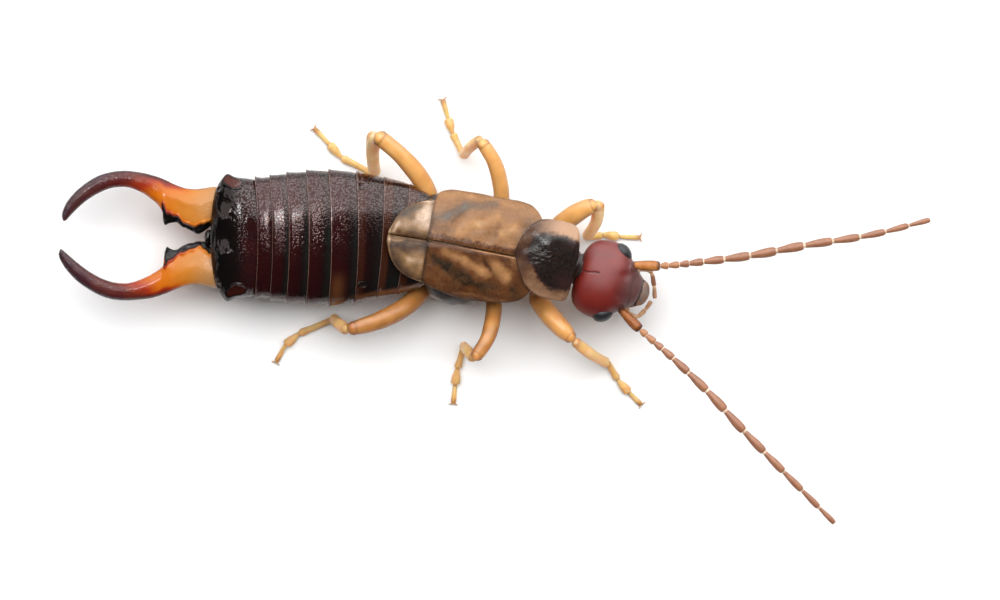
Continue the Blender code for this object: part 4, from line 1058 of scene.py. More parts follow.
def collarHeight(f, lateral, above):
    # A low black dome in front, flat thin sides with a turned-up rim, a fine middle furrow, and a front
    # edge that droops over the neck. The dome is a power of 1 less the square of the way aside.
    reach = np.where(lateral > 0.42, 0.80, 1.30)
    disc = easeBetween(-0.80, 0.10, f) * np.clip(1 - ((lateral - 0.42) / reach) ** 2, 0, 1) ** 1.3
    side = np.abs(lateral - 0.07)
    rim = 0.030 * easeBetween(1.02, 1.18, side) + 0.02 * easeBetween(-0.80, -0.93, f)
    furrow = -0.004 * hump(lateral, 0.05, 0.04) * easeBetween(-0.6, -0.3, f)
    frontRoll = -0.10 * easeBetween(0.74, 0.93, f) - 0.16 * easeBetween(-0.1, 1.1, f)
    droop = -0.10 * easeBetween(0.7, 1.25, side) * easeBetween(-0.9, -0.2, f)
    hind = 0.08 * easeBetween(0.0, -0.9, f)
    return collar["z"] + collar["dome"] * disc + (rim + furrow) * above + frontRoll + droop + hind


def makeCollar():
    # A plate with noise on its disc, whose colour eases over from the sides' to the disc's
    rings, f, lateral, above = plateRings(
        collar["forward"], -np.array(collar["right"]), collar["left"], collar["rows"], collar["columns"],
        collar["thick"], collarHeight, 1, collarPlace
    )
    warp = 0.04 * waves(rings, 0.5, 73) + 0.03 * waves(rings, 0.14, 74) + 0.02 * waves(rings, 0.06, 76)
    high = throughKnots(collar["forward"], collar["left"], f[:, 0])[:, None]
    low = -throughKnots(collar["forward"], collar["right"], f[:, 0])[:, None]
    left, right = discEdges(f)
    inside = np.minimum(left - lateral, lateral - right) + warp
    disc = easeBetween(-0.10, 0.12, inside) * easeBetween(-0.66, -0.46, f + 0.8 * warp)
    crumple = hump(f, -0.06, 0.34) * hump(lateral, 0.14, 0.24) * above * disc
    rings[..., 2] += crumple * (0.006 * waves(rings, 0.24, 70) - 0.016 * np.abs(waves(rings, 0.22, 71)))
    dents = sum(hump(np.hypot(f - ahead, lateral - at), 0, wide) for ahead, at, wide in collar["dents"])
    rings[..., 2] -= 0.012 * dents * above
    rings[..., 2] += 0.005 * waves(rings, 0.35, 72) * above
    purple = easeBetween(0.25, 0.75, f) * (hump(lateral, 0.75, 0.22) + hump(lateral, -0.50, 0.28))
    sideTone = 0.10 + 0.20 * easeBetween(-0.45, 0.10, inside)
    sideTone = sideTone + 0.26 * easeBetween(-0.25, -0.55, f) * easeBetween(-0.96, -0.84, f)
    sideTone = sideTone + 0.05 * waves(rings, 0.3, 75)
    tone = disc * (0.95 - 0.24 * purple) + (1 - disc) * sideTone
    rimLine = 0.30 * easeBetween(0.06, 0.02, np.minimum(high - lateral, lateral - low))
    mask = 0.75 * easeBetween(0.45, 0.95, lateral) * easeBetween(-0.5, 0.3, f)
    mask = mask + 0.15 * easeBetween(-0.60, -0.80, lateral)
    tone = tone + rimLine + 0.25 * easeBetween(-0.86, -0.93, f)
    relief = 0.22 + 0.06 * disc + 0.8 * crumple
    paint = {"tone": np.clip(tone, 0, 1), "mask": np.clip(mask * (1 - disc), 0, 1), "relief": relief}
    dress(putSkin("collarPlate", rings, horn["pronotum"], paint), "pronotum", "pronotum")


makeCollar()
print("pronotum")


# Thorax under the wings, and the neck

thorax = {
    "rows": 90, "columns": 150, "square": 2.4,
    "prothorax": dict(
        x=(0.72, 0.84, 1.10, 1.60, 1.92, 2.10), half=(0.60, 0.80, 0.90, 0.90, 0.78, 0.52),
        top=(2.40, 2.56, 2.64, 2.66, 2.58, 2.30), under=(1.24, 1.12, 1.06, 1.08, 1.20, 1.40), aside=0.0,
    ),
    "mesothorax": dict(
        x=(-0.34, -0.20, 0.20, 0.60, 0.76), half=(1.20, 1.29, 1.27, 1.10, 0.90),
        top=(2.60, 2.66, 2.68, 2.62, 2.50), under=(1.06, 1.01, 1.00, 1.08, 1.18), aside=0.0,
    ),
    "metathorax": dict(
        x=(-2.12, -1.95, -1.50, -1.00, -0.28), half=(1.30, 1.50, 1.655, 1.63, 1.30),
        top=(2.34, 2.44, 2.56, 2.62, 2.60), under=(1.08, 1.02, 0.98, 0.98, 1.02), aside=-0.10,
    ),
}


def makeTrunk(name):
    # Superellipse rings through the knots' sizes, with sine folds along the sides
    part = thorax[name]
    share = np.linspace(0, 1, thorax["rows"])
    x = part["x"][0] + (part["x"][-1] - part["x"][0]) * share
    sizes = throughKnots(part["x"], np.stack([part["half"], part["top"], part["under"]], 1), x)
    ends = -0.12 * (hump(share, 0, 0.05) + hump(share, 1, 0.05))
    rings, lateral, angle = trunkRings(x, ends, thorax["columns"], thorax["square"], sizes)
    low = easeBetween(-0.55, -0.75, np.sin(angle))
    # The breast plate stands proud of soft folded sides
    folds = 0.03 * np.sin(18 * share)[:, None] * (1 - low) * easeBetween(0.3, -0.2, np.sin(angle))
    rings[..., 2] -= 0.03 * low
    rings[..., 1] += np.sign(lateral) * folds + part["aside"]
    rings[..., 2] -= 0.03 * hump(lateral, 0, 0.06) * low
    rings += 0.010 * waves(rings, 0.4, 80)[..., None]
    tone = 0.25 + 0.55 * low + 0.12 * waves(rings, 0.5, 81)
    mask = 0.25 * (1 - low) * hump(share, 0.9, 0.12)[:, None]
    stripes = np.sin(22 * lateral + 5 * x[:, None]) > 0.55
    mask = mask + 0.8 * stripes * hump(x, -1.85, 0.25)[:, None] * (1 - low)
    paint = {"tone": np.clip(tone, 0, 1), "mask": mask}
    dress(putSkin(name + "_shell", rings, horn["thorax"], paint), "thorax", name)


for name in ("prothorax", "mesothorax", "metathorax"):
    makeTrunk(name)


neck = {
    "rows": 150, "columns": 90, "flat": 0.82,
    "path": ((1.75, 1.44, 1.80), (2.40, 1.28, 1.84), (3.05, 1.00, 1.86)), "radii": (0.48, 0.47, 0.46),
}


def neckFolds(share, angle):
    # Rings along the neck, and shallower folds that run askew round it, both sines
    return 0.020 * np.sin(share * 70) + 0.012 * np.sin(angle * 7 + share * 20)


def makeNeck():
    # A soft ringed tube from the prothorax into the back of the head
    rings, _, _ = limbRings(
        neck["path"], neck["radii"], neck["rows"], neck["columns"], flat=neck["flat"], lift=neckFolds,
    )
    paint = {"tone": 0.35 + 0.2 * waves(rings, 0.3, 83), "mask": 0.0}
    dress(putSkin("neckSkin", rings, horn["thorax"], paint), "thorax", "neck")


makeNeck()
print("thorax")


# Head, in its own frame: forward, half width, height above and depth below its middle

headPlace = ((3.52, 0.82, 1.86), -18.5)
skull = {
    "rows": 240, "columns": 260, "square": 2.12,
    "forward": (-1.12, -1.09, -0.99, -0.80, -0.54, -0.25, 0.00, 0.16, 0.30, 0.46, 0.60, 0.72, 0.82,
                0.87),
    "half": (0.34, 0.60, 0.90, 1.07, 1.17, 1.20, 1.13, 1.02, 0.88, 0.73, 0.60, 0.50, 0.40, 0.28),
    "above": (0.10, 0.24, 0.42, 0.55, 0.63, 0.66, 0.66, 0.63, 0.58, 0.50, 0.41, 0.32, 0.25, 0.16),
    "below": (0.10, 0.24, 0.37, 0.43, 0.46, 0.47, 0.47, 0.46, 0.45, 0.42, 0.38, 0.33, 0.27, 0.20),
    "smoothing": 160,
    "notch": 0.03,            # how far the back of the head is drawn in at the middle
    "sutureFrom": (-1.00, 0.045), "sutureTo": (-0.49, 0.125),   # forward and aside
    "sutureWide": 0.018, "sutureHeight": -0.030,
    "brow": {"forward": 0.42, "aside": 0.62, "long": 0.12, "wide": 0.13, "height": 0.030},
    "face": {"forward": 0.58, "bow": 0.10, "long": 0.045, "height": -0.010},
    "socket": {"forward": 0.50, "aside": 0.66, "radius": 0.13, "rim": 0.035, "height": 0.025},
    "dip": {"forward": 0.30, "aside": 0.32, "long": 0.16, "wide": 0.14, "height": -0.035},
    "unevenness": 0.010,
}


def makeSkull():
    # Superellipse rings through the knots' sizes, flatter below than above. The suture, brows, face line
    # and sockets are bell curves added to the height of the upper side.
    knots = np.array(skull["forward"])
    share = np.linspace(0, 1, skull["rows"])
    s = throughKnots(np.linspace(0, 1, len(knots)), knots, share)
    sizes = throughKnots(knots, np.stack([skull["half"], skull["above"], skull["below"]], 1), s)
    sizes = softened(sizes, skull["smoothing"])
    angle = np.linspace(0, 2 * np.pi, skull["columns"], endpoint=False)[None, :]
    across, rise = roundedSquare(angle, skull["square"])
    lateral = across * sizes[:, :1]
    upper = np.clip(rise, 0, 1)
    height = np.where(rise > 0, rise * sizes[:, 1:2], rise * sizes[:, 2:3])
    notch = skull["notch"] * hump(lateral, 0.14, 0.32) * (1 - easeBetween(-1.10, -0.45, s))[:, None]
    s = s[:, None] + notch
    # The crown's short suture, the line over the face, and the dip between the feelers' sockets
    brow, face, socket, dip = (skull[feature] for feature in ("brow", "face", "socket", "dip"))
    aside = np.abs(lateral)
    wavy = lateral + 0.012 * np.sin(s * 14)
    suture = streak(s, wavy, skull["sutureFrom"], skull["sutureTo"], skull["sutureWide"])
    ridge = hump(aside, brow["aside"], brow["wide"]) * hump(s, brow["forward"], brow["long"])
    faceLine = hump(s - face["bow"] * lateral ** 2, face["forward"], face["long"])
    faceLine = faceLine * easeBetween(0.62, 0.40, aside)
    away = np.hypot(s - socket["forward"], aside - socket["aside"])
    rim = hump(away, socket["radius"], socket["rim"])
    lift = skull["sutureHeight"] * suture + brow["height"] * ridge + face["height"] * faceLine
    lift += socket["height"] * rim
    lift += dip["height"] * hump(s, dip["forward"], dip["long"]) * hump(aside, dip["aside"], dip["wide"])
    lift += skull["unevenness"] * waves(np.stack([s, lateral, height], -1), 0.8, 90)
    height = height + lift * easeBetween(0.0, 0.5, upper)
    rings = turned(np.stack([s, lateral, height], -1), headPlace)
    front = easeBetween(-0.30, 0.85, s - 0.12 * lateral)
    tone = np.clip(0.04 + 0.88 * front + 0.08 * waves(rings, 0.7, 91), 0, 1)
    tone = np.maximum(tone, 0.5 * easeBetween(0.1, -0.5, rise))
    mask = np.clip(0.95 * suture + 0.25 * faceLine + 0.35 * rim, 0, 1) * easeBetween(0.0, 0.4, upper)
    dress(putSkin("headCapsule", rings, horn["head"], {"tone": tone, "mask": mask}), "head", "head")


makeSkull()


facetEye = {
    "rows": 90, "columns": 120, "sizes": (0.32, 0.23, 0.30), "yaw": 36.0,
    "middle": {"left": (0.015, 0.945, 0.10), "right": (0.015, 0.985, 0.10)},
}


def makeEye(sideName, sign):
    # An ellipsoid in polar angles, turned about z and set in the side of the head. Its facets are the
    # finish's granules.
    middle, sizes = facetEye["middle"][sideName], facetEye["sizes"]
    polar = np.linspace(0.02, np.pi - 0.02, facetEye["rows"])[:, None]
    angle = np.linspace(0, 2 * np.pi, facetEye["columns"], endpoint=False)[None, :]
    ball = np.stack([
        sizes[0] * np.cos(polar) * np.ones_like(angle),
        sign * sizes[1] * np.sin(polar) * np.cos(angle),
        sizes[2] * np.sin(polar) * np.sin(angle),
    ], -1)
    middle = (middle[0], sign * middle[1], middle[2])
    rings = turned(turned(ball, (middle, -sign * facetEye["yaw"])), headPlace)
    # The upper half is a little lighter: painted sheen from the lamps above
    tone = 0.35 + 0.5 * easeBetween(-0.1, 0.3, ball[..., 2])
    piece = putSkin(f"facetEye_{sideName}", rings, horn["eye"], {"tone": tone, "mask": 0})
    dress(piece, "eye", f"eye_{sideName}")


lip = {
    "rows": 90, "columns": 190, "thick": 0.16, "aside": -0.03,
    "knots": (0.72, 0.80, 0.88, 0.97, 1.05, 1.11, 1.15),
    "half": (0.38, 0.41, 0.41, 0.37, 0.31, 0.21, 0.08),
}


def lipHeight(f, lateral, above):
    # A low dome that falls by the squares of the distances from its middle
    return 0.10 - 1.2 * (f - 0.90) ** 2 - 0.45 * (lateral - lip["aside"]) ** 2


def makeLabrum():
    # A plate in front of the face, with a dark gap where it meets it
    half = np.array(lip["half"])
    rings, f, lateral, _ = plateRings(
        lip["knots"], lip["aside"] - half, lip["aside"] + half,
        lip["rows"], lip["columns"], lip["thick"], lipHeight, 1, headPlace,
    )
    gap = hump(f - 0.90 + 0.6 * (lateral - lip["aside"]) ** 2, 0, 0.025) + (f < 0.88)
    mask = np.clip(0.2 + 0.2 * waves(rings, 0.2, 96) + gap, 0, 1)
    paint = {"tone": 0.80 + 0.2 * waves(rings, 0.25, 95), "mask": mask}
    dress(putSkin("upperLip", rings, horn["mouth"], paint), "mouth", "labrum")


jaw = {
    "rows": 70, "columns": 40, "flat": 0.75, "radii": (0.17, 0.15, 0.11, 0.05),
    # forward, aside, how far both jaws lie to the right, and height
    "path": ((0.50, 0.42, 0.03, -0.14), (0.76, 0.33, 0.04, -0.16),
             (0.92, 0.22, 0.06, -0.18), (1.02, 0.06, 0.07, -0.20)),
}


def makeJaw(sideName, sign):
    # A flattened tube that curves in below the upper lip
    path = [(forward, sign * aside - right, height) for forward, aside, right, height in jaw["path"]]
    rings, share, _ = limbRings(
        turned(np.array(path), headPlace), jaw["radii"], jaw["rows"], jaw["columns"], flat=jaw["flat"],
    )
    paint = {"tone": 0.35 + 0.6 * share, "mask": easeBetween(0.7, 1.0, share)}
    dress(putSkin(f"jaw_{sideName}", rings, horn["mouth"], paint), "mouth", f"mandible_{sideName}")


for sideName, sign in sides.items():
    makeEye(sideName, sign)
    makeJaw(sideName, sign)
makeLabrum()
print("head")


# Jointed tubes: feelers and palps. lengths are shares of the whole path; each joint is a club, thin at
# its root and thickest at swell. Its radius is the joint's own times a curve through the club's knots.

def jointedRings(points, lengths, radii, rowsEach, columns, waist, swell):
    lengths = np.array(lengths, float) / np.sum(lengths)
    starts = np.r_[0, np.cumsum(lengths)[:-1]]
    inJoint = np.tile((np.arange(rowsEach) + 0.5) / rowsEach, len(lengths))
    whole = np.repeat(starts, rowsEach) + np.repeat(lengths, rowsEach) * inJoint
    club = throughKnots(
        [0, 0.04, 0.12, swell, 0.93, 0.98, 1.0],
        [0.52, waist * 0.90, waist, 1.0, 0.90, 0.66, 0.52], inJoint,
    )
    radius = np.repeat(radii, rowsEach) * club
    angle = np.linspace(0, 2 * np.pi, columns, endpoint=False)
    rings = sweep(along(points, whole), angle, radius[:, None])
    return rings, inJoint[:, None], np.repeat(np.arange(len(lengths)), rowsEach)[:, None]


feeler = {
    "rowsEach": 30, "columns": 24, "waist": 0.66, "swell": 0.70,
    # stemTone: each stem's tone; the right one is lower, painted shade, as that feeler lies on the side
    # away from the lamps
    "stemTone": {"left": 0.75, "right": 0.15},
    "lengths": (0.90, 0.24, 0.33, 0.29, 0.43, 0.62, 0.77, 0.80, 0.83, 0.86, 0.82, 0.78, 0.72, 0.68),
    "radii": (0.160, 0.112, 0.108, 0.112, 0.118, 0.128, 0.138, 0.146, 0.142, 0.132, 0.122, 0.110, 0.098,
              0.084),
    "left": ((4.06, 1.36, 1.90), (4.55, 1.33, 1.99), (4.98, 1.32, 2.06), (6.28, 1.45, 2.20),
             (7.65, 1.63, 2.34), (9.26, 1.93, 2.40), (11.30, 2.26, 2.32), (13.02, 2.70, 2.14)),
    "right": ((3.72, 0.04, 1.90), (4.02, -0.26, 1.98), (4.36, -0.60, 2.06), (5.34, -1.46, 2.20),
              (6.33, -2.41, 2.34), (7.43, -3.61, 2.40), (8.90, -5.11, 2.32), (10.16, -6.38, 2.14)),
}


def makeFeeler(sideName):
    # One jointed tube, whose first joint is the stem. The others are pale at both ends, and the first of
    # them amber.
    rings, inJoint, number = jointedRings(
        feeler[sideName], feeler["lengths"], feeler["radii"], feeler["rowsEach"], feeler["columns"],
        feeler["waist"], feeler["swell"],
    )
    stem = np.arange(len(rings)) < feeler["rowsEach"]
    pale = 1 - easeBetween(0.03, 0.12, inJoint) * (1 - easeBetween(0.94, 0.985, inJoint))
    tone = np.clip(1 - pale + 0.08 * waves(rings, 0.2, 100), 0, 1)
    amber = np.where(number < 3, 0.65 - 0.15 * number, 0.0) * (1 - pale * 0.4)
    # The stem joint is amber with a brown collar at each end, and its flanks are browner: painted shade
    # along the tube's two edges
    collars = hump(inJoint, 0.10, 0.05) + 0.8 * easeBetween(0.84, 0.95, inJoint)
    flank = np.abs(np.cos(np.linspace(0, 2 * np.pi, feeler["columns"], endpoint=False))) ** 4
    stemTone = feeler["stemTone"][sideName] + 0.15 * waves(rings, 0.25, 101) - 0.60 * flank
    stemMask = collars + 0.5 * flank ** 2
    paint = {"tone": stemTone[stem].clip(0, 1), "mask": stemMask[stem].clip(0, 1)}
    piece = putSkin(f"scape_{sideName}", rings[stem], horn["scape"], paint)
    dress(piece, "scape", f"antenna_{sideName}_scape")
    paint = {"tone": tone[~stem], "mask": amber[~stem]}
    piece = putSkin(f"feeler_{sideName}", rings[~stem], horn["antenna"], paint)
    dress(piece, "antenna", f"antenna_{sideName}_flagellum")


palps = {
    "rowsEach": 24, "columns": 22, "waist": 0.8, "swell": 0.72,
    "left": ((3.98, 1.02, 1.52), (4.34, 1.20, 1.36), (4.65, 1.18, 1.26), (4.77, 0.78, 1.22),
             (4.80, 0.34, 1.22)),
    "right": ((3.80, 0.28, 1.52), (4.06, -0.12, 1.36), (4.26, -0.20, 1.26), (4.47, -0.04, 1.22),
              (4.70, 0.27, 1.22)),
    "tone": {"left": (0.0, 0.0, 0.05, 0.50, 0.34), "right": (0.0, 0.1, 0.10, 0.16, 0.25)},
    "lengths": (0.22, 0.30, 0.50, 0.42, 0.44), "radii": (0.09, 0.09, 0.072, 0.072, 0.066),
}


def makePalp(sideName):
    # A jointed tube with a tone for each joint, pale at its root
    rings, inJoint, number = jointedRings(
        palps[sideName], palps["lengths"], palps["radii"], palps["rowsEach"], palps["columns"],
        palps["waist"], palps["swell"],
    )
    tone = np.array(palps["tone"][sideName])[number] * easeBetween(0.0, 0.3, inJoint)
    piece = putSkin(f"mouthPalp_{sideName}", rings, horn["mouth"], {"tone": tone, "mask": 0})
    dress(piece, "mouth", f"palp_{sideName}")


for sideName in sides:
    makeFeeler(sideName)
    makePalp(sideName)
print("feelers and palps")


# Legs: joint points as the frame has them, hip, knee and ankle, then the three foot joints on the floor

# pale and shin are each thigh's and shin's tone. The right legs' are lower: painted shade, as the body
# lies between them and the lamps.
legs = {
    "front_left": {
        "coxa": ((1.50, 1.72, 1.22), (1.72, 2.30, 0.78)),
        "femur": ((1.72, 2.28, 0.78), (2.06, 2.63, 1.28), (2.56, 2.97, 1.68), (3.05, 3.20, 1.86)),
        "tibia": ((3.10, 3.22, 1.86), (3.04, 2.68, 1.14), (2.76, 2.18, 0.32)),
        "foot": ((2.76, 2.18), (3.35, 2.27), (3.80, 2.21), (4.40, 2.19)),
        "stout": 0.29, "slim": 1.02, "pale": 0.48, "shin": 0.78,
    },
    "front_right": {
        "coxa": ((1.42, 1.14, 1.22), (1.18, 0.60, 0.78)),
        "femur": ((1.18, 0.60, 0.78), (1.46, 0.08, 1.26), (1.90, -0.44, 1.58), (2.36, -0.92, 1.74)),
        "tibia": ((2.36, -0.93, 1.74), (2.88, -1.33, 1.14), (3.38, -1.61, 0.34)),
        "foot": ((3.39, -1.58), (3.76, -2.18), (4.09, -2.54), (4.43, -2.87)),
        "stout": 0.29, "slim": 0.92, "pale": 0.29, "shin": 0.58,
    },
    "mid_left": {
        "coxa": ((0.05, 2.15, 1.20), (0.22, 2.90, 0.74)),
        "femur": ((0.18, 2.90, 0.74), (0.18, 3.62, 1.38), (-0.02, 4.42, 1.82), (-0.43, 5.09, 1.98)),
        "tibia": ((-0.43, 5.12, 1.98), (-0.74, 4.90, 1.22), (-0.96, 4.66, 0.32)),
        "foot": ((-0.96, 4.66), (-1.31, 5.41), (-1.43, 5.84), (-1.585, 6.37)),
        "stout": 0.228, "slim": 0.90, "pale": 0.54, "shin": 0.72,
    },
    "mid_right": {
        "coxa": ((0.04, 1.28, 1.20), (-0.02, 0.56, 0.74)),
        "femur": ((-0.04, 0.56, 0.74), (-0.05, -0.14, 1.40), (-0.23, -0.86, 1.82), (-0.63, -1.49, 1.96)),
        "tibia": ((-0.64, -1.46, 1.96), (-0.82, -1.22, 1.20), (-0.95, -1.09, 0.32)),
        "foot": ((-0.95, -1.09), (-1.15, -1.86), (-1.21, -2.31), (-1.26, -2.84)),
        "stout": 0.228, "slim": 0.88, "pale": 0.08, "shin": 0.42,
    },
    "hind_left": {
        "coxa": ((-1.05, 2.20, 1.15), (-1.84, 2.88, 0.68)),
        "femur": ((-1.84, 2.88, 0.68), (-2.125, 3.75, 1.36), (-2.745, 4.555, 1.84), (-3.58, 5.27, 2.02)),
        "tibia": ((-3.62, 5.28, 2.02), (-3.68, 4.68, 1.24), (-3.64, 4.08, 0.32)),
        "foot": ((-3.64, 4.08), (-4.69, 4.65), (-5.04, 5.05), (-5.48, 5.50)),
        "stout": 0.268, "slim": 1.12, "pale": 0.46, "shin": 0.85,
    },
    "hind_right": {
        "coxa": ((-1.15, 1.62, 1.15), (-1.94, 0.96, 0.68)),
        "femur": ((-1.94, 0.96, 0.68), (-2.58, 0.18, 1.36), (-3.48, -0.32, 1.80), (-4.42, -0.60, 1.98)),
        "tibia": ((-4.42, -0.60, 1.98), (-4.68, -0.42, 1.22), (-4.86, -0.26, 0.32)),
        "foot": ((-4.86, -0.26), (-5.97, -0.75), (-6.35, -1.09), (-6.62, -1.59)),
        "stout": 0.275, "slim": 0.95, "pale": -0.02, "shin": 0.42,
    },
}
# rows and columns of each tube
legDetail = {
    "coxa": (60, 40), "femur": (130, 48), "tibia": (100, 40), "foot": (150, 32), "claw": (40, 14),
}
legSizes = {
    "coxa": ((0, 0.34), (0.5, 0.33), (1, 0.24)), "knee": 0.212, "tibia": 0.188, "ankle": 0.168,
}


def thighLift(share, angle):
    # A little wider than high, with a groove round each end
    return 0.012 * np.cos(2 * angle) - 0.02 * hump(share, 0.10, 0.02) - 0.012 * hump(share, 0.925, 0.012)


def shinLift(share, angle):
    # Three low edges along the shin, and a groove below the knee
    return 0.006 * np.cos(3 * angle) - 0.010 * hump(share, 0.12, 0.02)


def makeLeg(name, leg):
    # Tubes along the hip, thigh and shin; flank is 1 at a tube's two sides and 0 above and below
    stout, slim = leg["stout"], leg["slim"]
    knee, ankle = legSizes["knee"] * slim, legSizes["ankle"]
    rings, share, _ = limbRings(leg["coxa"], legSizes["coxa"], *legDetail["coxa"])
    paint = {"tone": leg["pale"], "mask": 0.25 * easeBetween(0.7, 1, share)}
    dress(putSkin(f"hip_{name}", rings, horn["leg"], paint), "leg", f"leg_{name}_coxa")
    radii = [(0, 0.19), (0.06, 0.21), (0.20, stout), (0.50, stout), (0.80, stout * 0.88),
             (0.94, knee), (1, knee * 0.95)]
    rings, share, angle = limbRings(leg["femur"], radii, *legDetail["femur"], lift=thighLift)
    # Brown hinge spots on both cheeks of the knee, a brown ring at the hip, and browner sides, which are
    # painted shade along the tube's two edges
    flank = np.abs(np.cos(angle))
    hinge = hump(share, 0.955, 0.022) * flank ** 3 + 0.45 * hump(share, 0.925, 0.012)
    mask = np.clip(0.85 * hinge + 0.35 * hump(share, 0.10, 0.02) + 0.24 * flank ** 5, 0, 1)
    tone = leg["pale"] + 0.12 * share + 0.10 * waves(rings, 0.5, 110) - 0.20 * flank ** 4
    paint = {"tone": np.clip(tone, 0, 1), "mask": mask}
    dress(putSkin(f"thigh_{name}", rings, horn["leg"], paint), "leg", f"leg_{name}_femur")
    radii = [(0, knee * 0.80 * slim), (0.10, knee * 0.88 * slim), (0.3, legSizes["tibia"] * slim),
             (0.8, ankle * slim), (1, ankle * 1.08 * slim)]
    rings, share, angle = limbRings(leg["tibia"], radii, *legDetail["tibia"], lift=shinLift)
    flank = np.abs(np.cos(angle))
    # The sides are browner: painted shade along the tube's two edges
    mask = 0.50 * hump(share, 0.05, 0.05) + 0.25 * easeBetween(0.93, 1.0, share) + 0.14 * flank ** 5
    tone = leg["shin"] + 0.12 * waves(rings, 0.5, 111) - 0.15 * flank ** 4
    paint = {"tone": np.clip(tone, 0, 1), "mask": mask}
    dress(putSkin(f"shin_{name}", rings, horn["shin"], paint), "leg", f"leg_{name}_tibia")
    makeFoot(name, leg)


foot = {
    # share of the way and radius: a long joint, a short lobe that widens under the next, a claw joint
    "radii": ((0, 0.095), (0.10, 0.090), (0.32, 0.095), (0.44, 0.118), (0.485, 0.065), (0.52, 0.080),
              (0.60, 0.130), (0.67, 0.140), (0.705, 0.060), (0.74, 0.062), (0.93, 0.080), (1, 0.066)),
    "joints": (0, 0.485, 0.705, 1),        # the shares where those joints end
    "clear": 0.004, "inShin": 0.06, "heel": 0.17,   # heights: over the floor, into the shin, at the bend
}
claw = {
    "length": 0.15, "radii": (0.024, 0.022, 0.015, 0.005),
    "turns": ((-0.08, 0.06, 0.070), (-0.01, 0.34, 0.10), (0.015, 0.70, 0.08), (0.02, 1.0, 0.02)),
}


def makeFoot(name, leg):
    # A tube along the foot's three joints. The listed shares are for a typical foot, and are stretched
    # to this one's own joints. The path starts inside the shin's end.
    a, b, c, d = (np.array(p) for p in leg["foot"])
    spots = np.array([
        a, a + (b - a) * 0.12, a + (b - a) * 0.5, b - (b - a) * 0.03,
        b + (c - b) * 0.45, c - (c - b) * 0.05, c + (d - c) * 0.5, d,
    ])
    lengths = np.r_[0, np.cumsum(np.linalg.norm(np.diff(np.array([a, b, c, d]), axis=0), axis=1))]
    lengths = lengths / lengths[-1]
    share = np.interp([s for s, _ in foot["radii"]], foot["joints"], lengths)
    radius = np.array([r for _, r in foot["radii"]])
    z = np.interp(np.linspace(0, 1, len(spots)), share, radius) + foot["clear"]
    z[0], z[1] = leg["tibia"][-1][2] + foot["inShin"], foot["heel"]
    path = np.column_stack([spots, z])
    rings, t, angle = limbRings(path, list(zip(share, radius)), *legDetail["foot"])
    rings[..., 2] = np.maximum(rings[..., 2], 0.002)
    joints = hump(t, lengths[1], 0.012) + hump(t, lengths[2], 0.012)
    tone = np.clip(0.62 * leg["shin"] + 0.10 * waves(rings, 0.3, 112), 0, 1)
    # The sides are browner: painted shade along the tube's two edges
    mask = 0.40 * joints + 0.60 * easeBetween(0.88, 0.97, t) + 0.30 * np.abs(np.cos(angle)) ** 4
    paint = {"tone": tone, "mask": np.clip(mask, 0, 1)}
    dress(putSkin(f"foot_{name}", rings, horn["shin"], paint), "leg", f"leg_{name}_tarsus")
    # Two hooks spread from the last joint's end; turns holds their way forward, aside and height
    ahead = (d - c) / np.linalg.norm(d - c)
    aside = np.array([-ahead[1], ahead[0]])
    reach = claw["length"]
    for number, sign in enumerate((1, -1)):
        hook = [(*(d + ahead * f + aside * sign * s * reach), z) for f, s, z in claw["turns"]]
        rings, t, _ = limbRings(hook, claw["radii"], *legDetail["claw"])
        rings[..., 2] = np.maximum(rings[..., 2], 0.001)
        paint = {"tone": 0.3, "mask": 0.35 + 0.5 * t}
        dress(putSkin(f"claw{number + 1}_{name}", rings, horn["leg"], paint), "leg")


for name, leg in legs.items():
    makeLeg(name, leg)
print("legs")


# Floor, light and camera

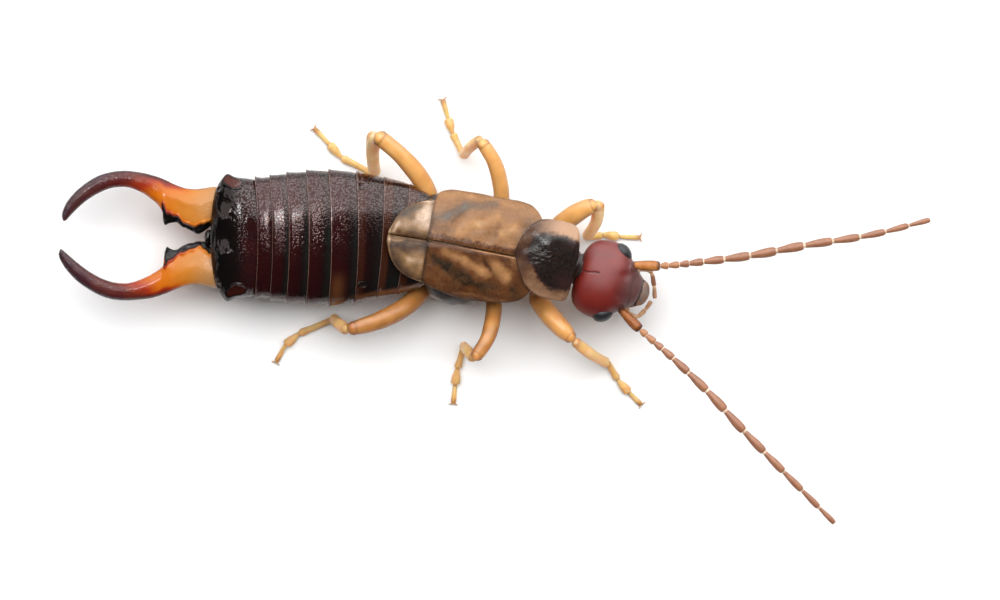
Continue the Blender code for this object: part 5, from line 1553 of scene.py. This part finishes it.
studio = {
    "viewX": 0.15, "viewY": 0.30, "viewZ": 1.5, "viewWide": 30.0, "lens": 250.0, "sensor": 36.0,
    "floorReach": 0.6, "floorColour": (0.93, 0.93, 0.93), "floorRough": 0.8,   # the reach in metres
    "sky": 0.05, "skyColour": (0.95, 0.97, 1.0),
    # direction from the origin, distance, width and length, power, and what the lamp gives
    "lamps": {
        "softbox": ((0.05, 0.42, 1.0), 260, (480, 260), 1.6, "shade"),
        "sideGloss": ((0.05, 1.30, 1.0), 260, (700, 385), 3.0, "gloss"),
        "core": ((-0.18, 0.22, 1.0), 300, (46, 46), 0.18, "gloss"),
    },
}


def makeFloor():
    # A square sheet of white paper
    mesh = bpy.data.meshes.new("table")
    reach = studio["floorReach"]
    corners = [(-reach, -reach, 0), (reach, -reach, 0), (reach, reach, 0), (-reach, reach, 0)]
    mesh.from_pydata(corners, [], [(0, 1, 2, 3)])
    paper = bpy.data.materials.new("paper")
    paper.use_nodes = True
    shader = paper.node_tree.nodes["Principled BSDF"]
    shader.inputs["Base Color"].default_value = (*studio["floorColour"], 1)
    shader.inputs["Roughness"].default_value = studio["floorRough"]
    mesh.materials.append(paper)
    floor = addObject("table", mesh)


def addPanel(name, direction, distance, size, power, gives):
    # A flat lamp that faces the origin and gives either shade or gloss
    light = bpy.data.lights.new(name, "AREA")
    light.shape = "RECTANGLE"
    light.size, light.size_y = size[0] * mm, size[1] * mm
    light.energy = power
    lamp = addObject(name, light)
    way = Vector(direction).normalized()
    lamp.location = way * distance * mm
    lamp.rotation_euler = (-way).to_track_quat("-Z", "Y").to_euler()
    lamp.visible_glossy = gives == "gloss"
    lamp.visible_diffuse = gives == "shade"


def makeStudio():
    # Lamps, a faint sky, and a camera straight above whose distance is the wanted width times lens over
    # sensor
    for name, panel in studio["lamps"].items():
        addPanel(name, *panel)
    world = bpy.data.worlds.new("room")
    world.use_nodes = True
    sky = world.node_tree.nodes["Background"]
    sky.inputs["Color"].default_value = (*studio["skyColour"], 1)
    sky.inputs["Strength"].default_value = studio["sky"]
    bpy.context.scene.world = world
    bpy.context.scene.view_settings.view_transform = "Standard"
    camera = bpy.data.cameras.new("camera")
    camera.lens, camera.sensor_width = studio["lens"], studio["sensor"]
    camera.clip_start, camera.clip_end = 0.01, 5.0
    eye = addObject("camera", camera)
    away = studio["viewWide"] * studio["lens"] / studio["sensor"]
    eye.location = (studio["viewX"] * mm, studio["viewY"] * mm, (studio["viewZ"] + away) * mm)
    bpy.context.scene.camera = eye


makeFloor()
makeStudio()
print("studio")
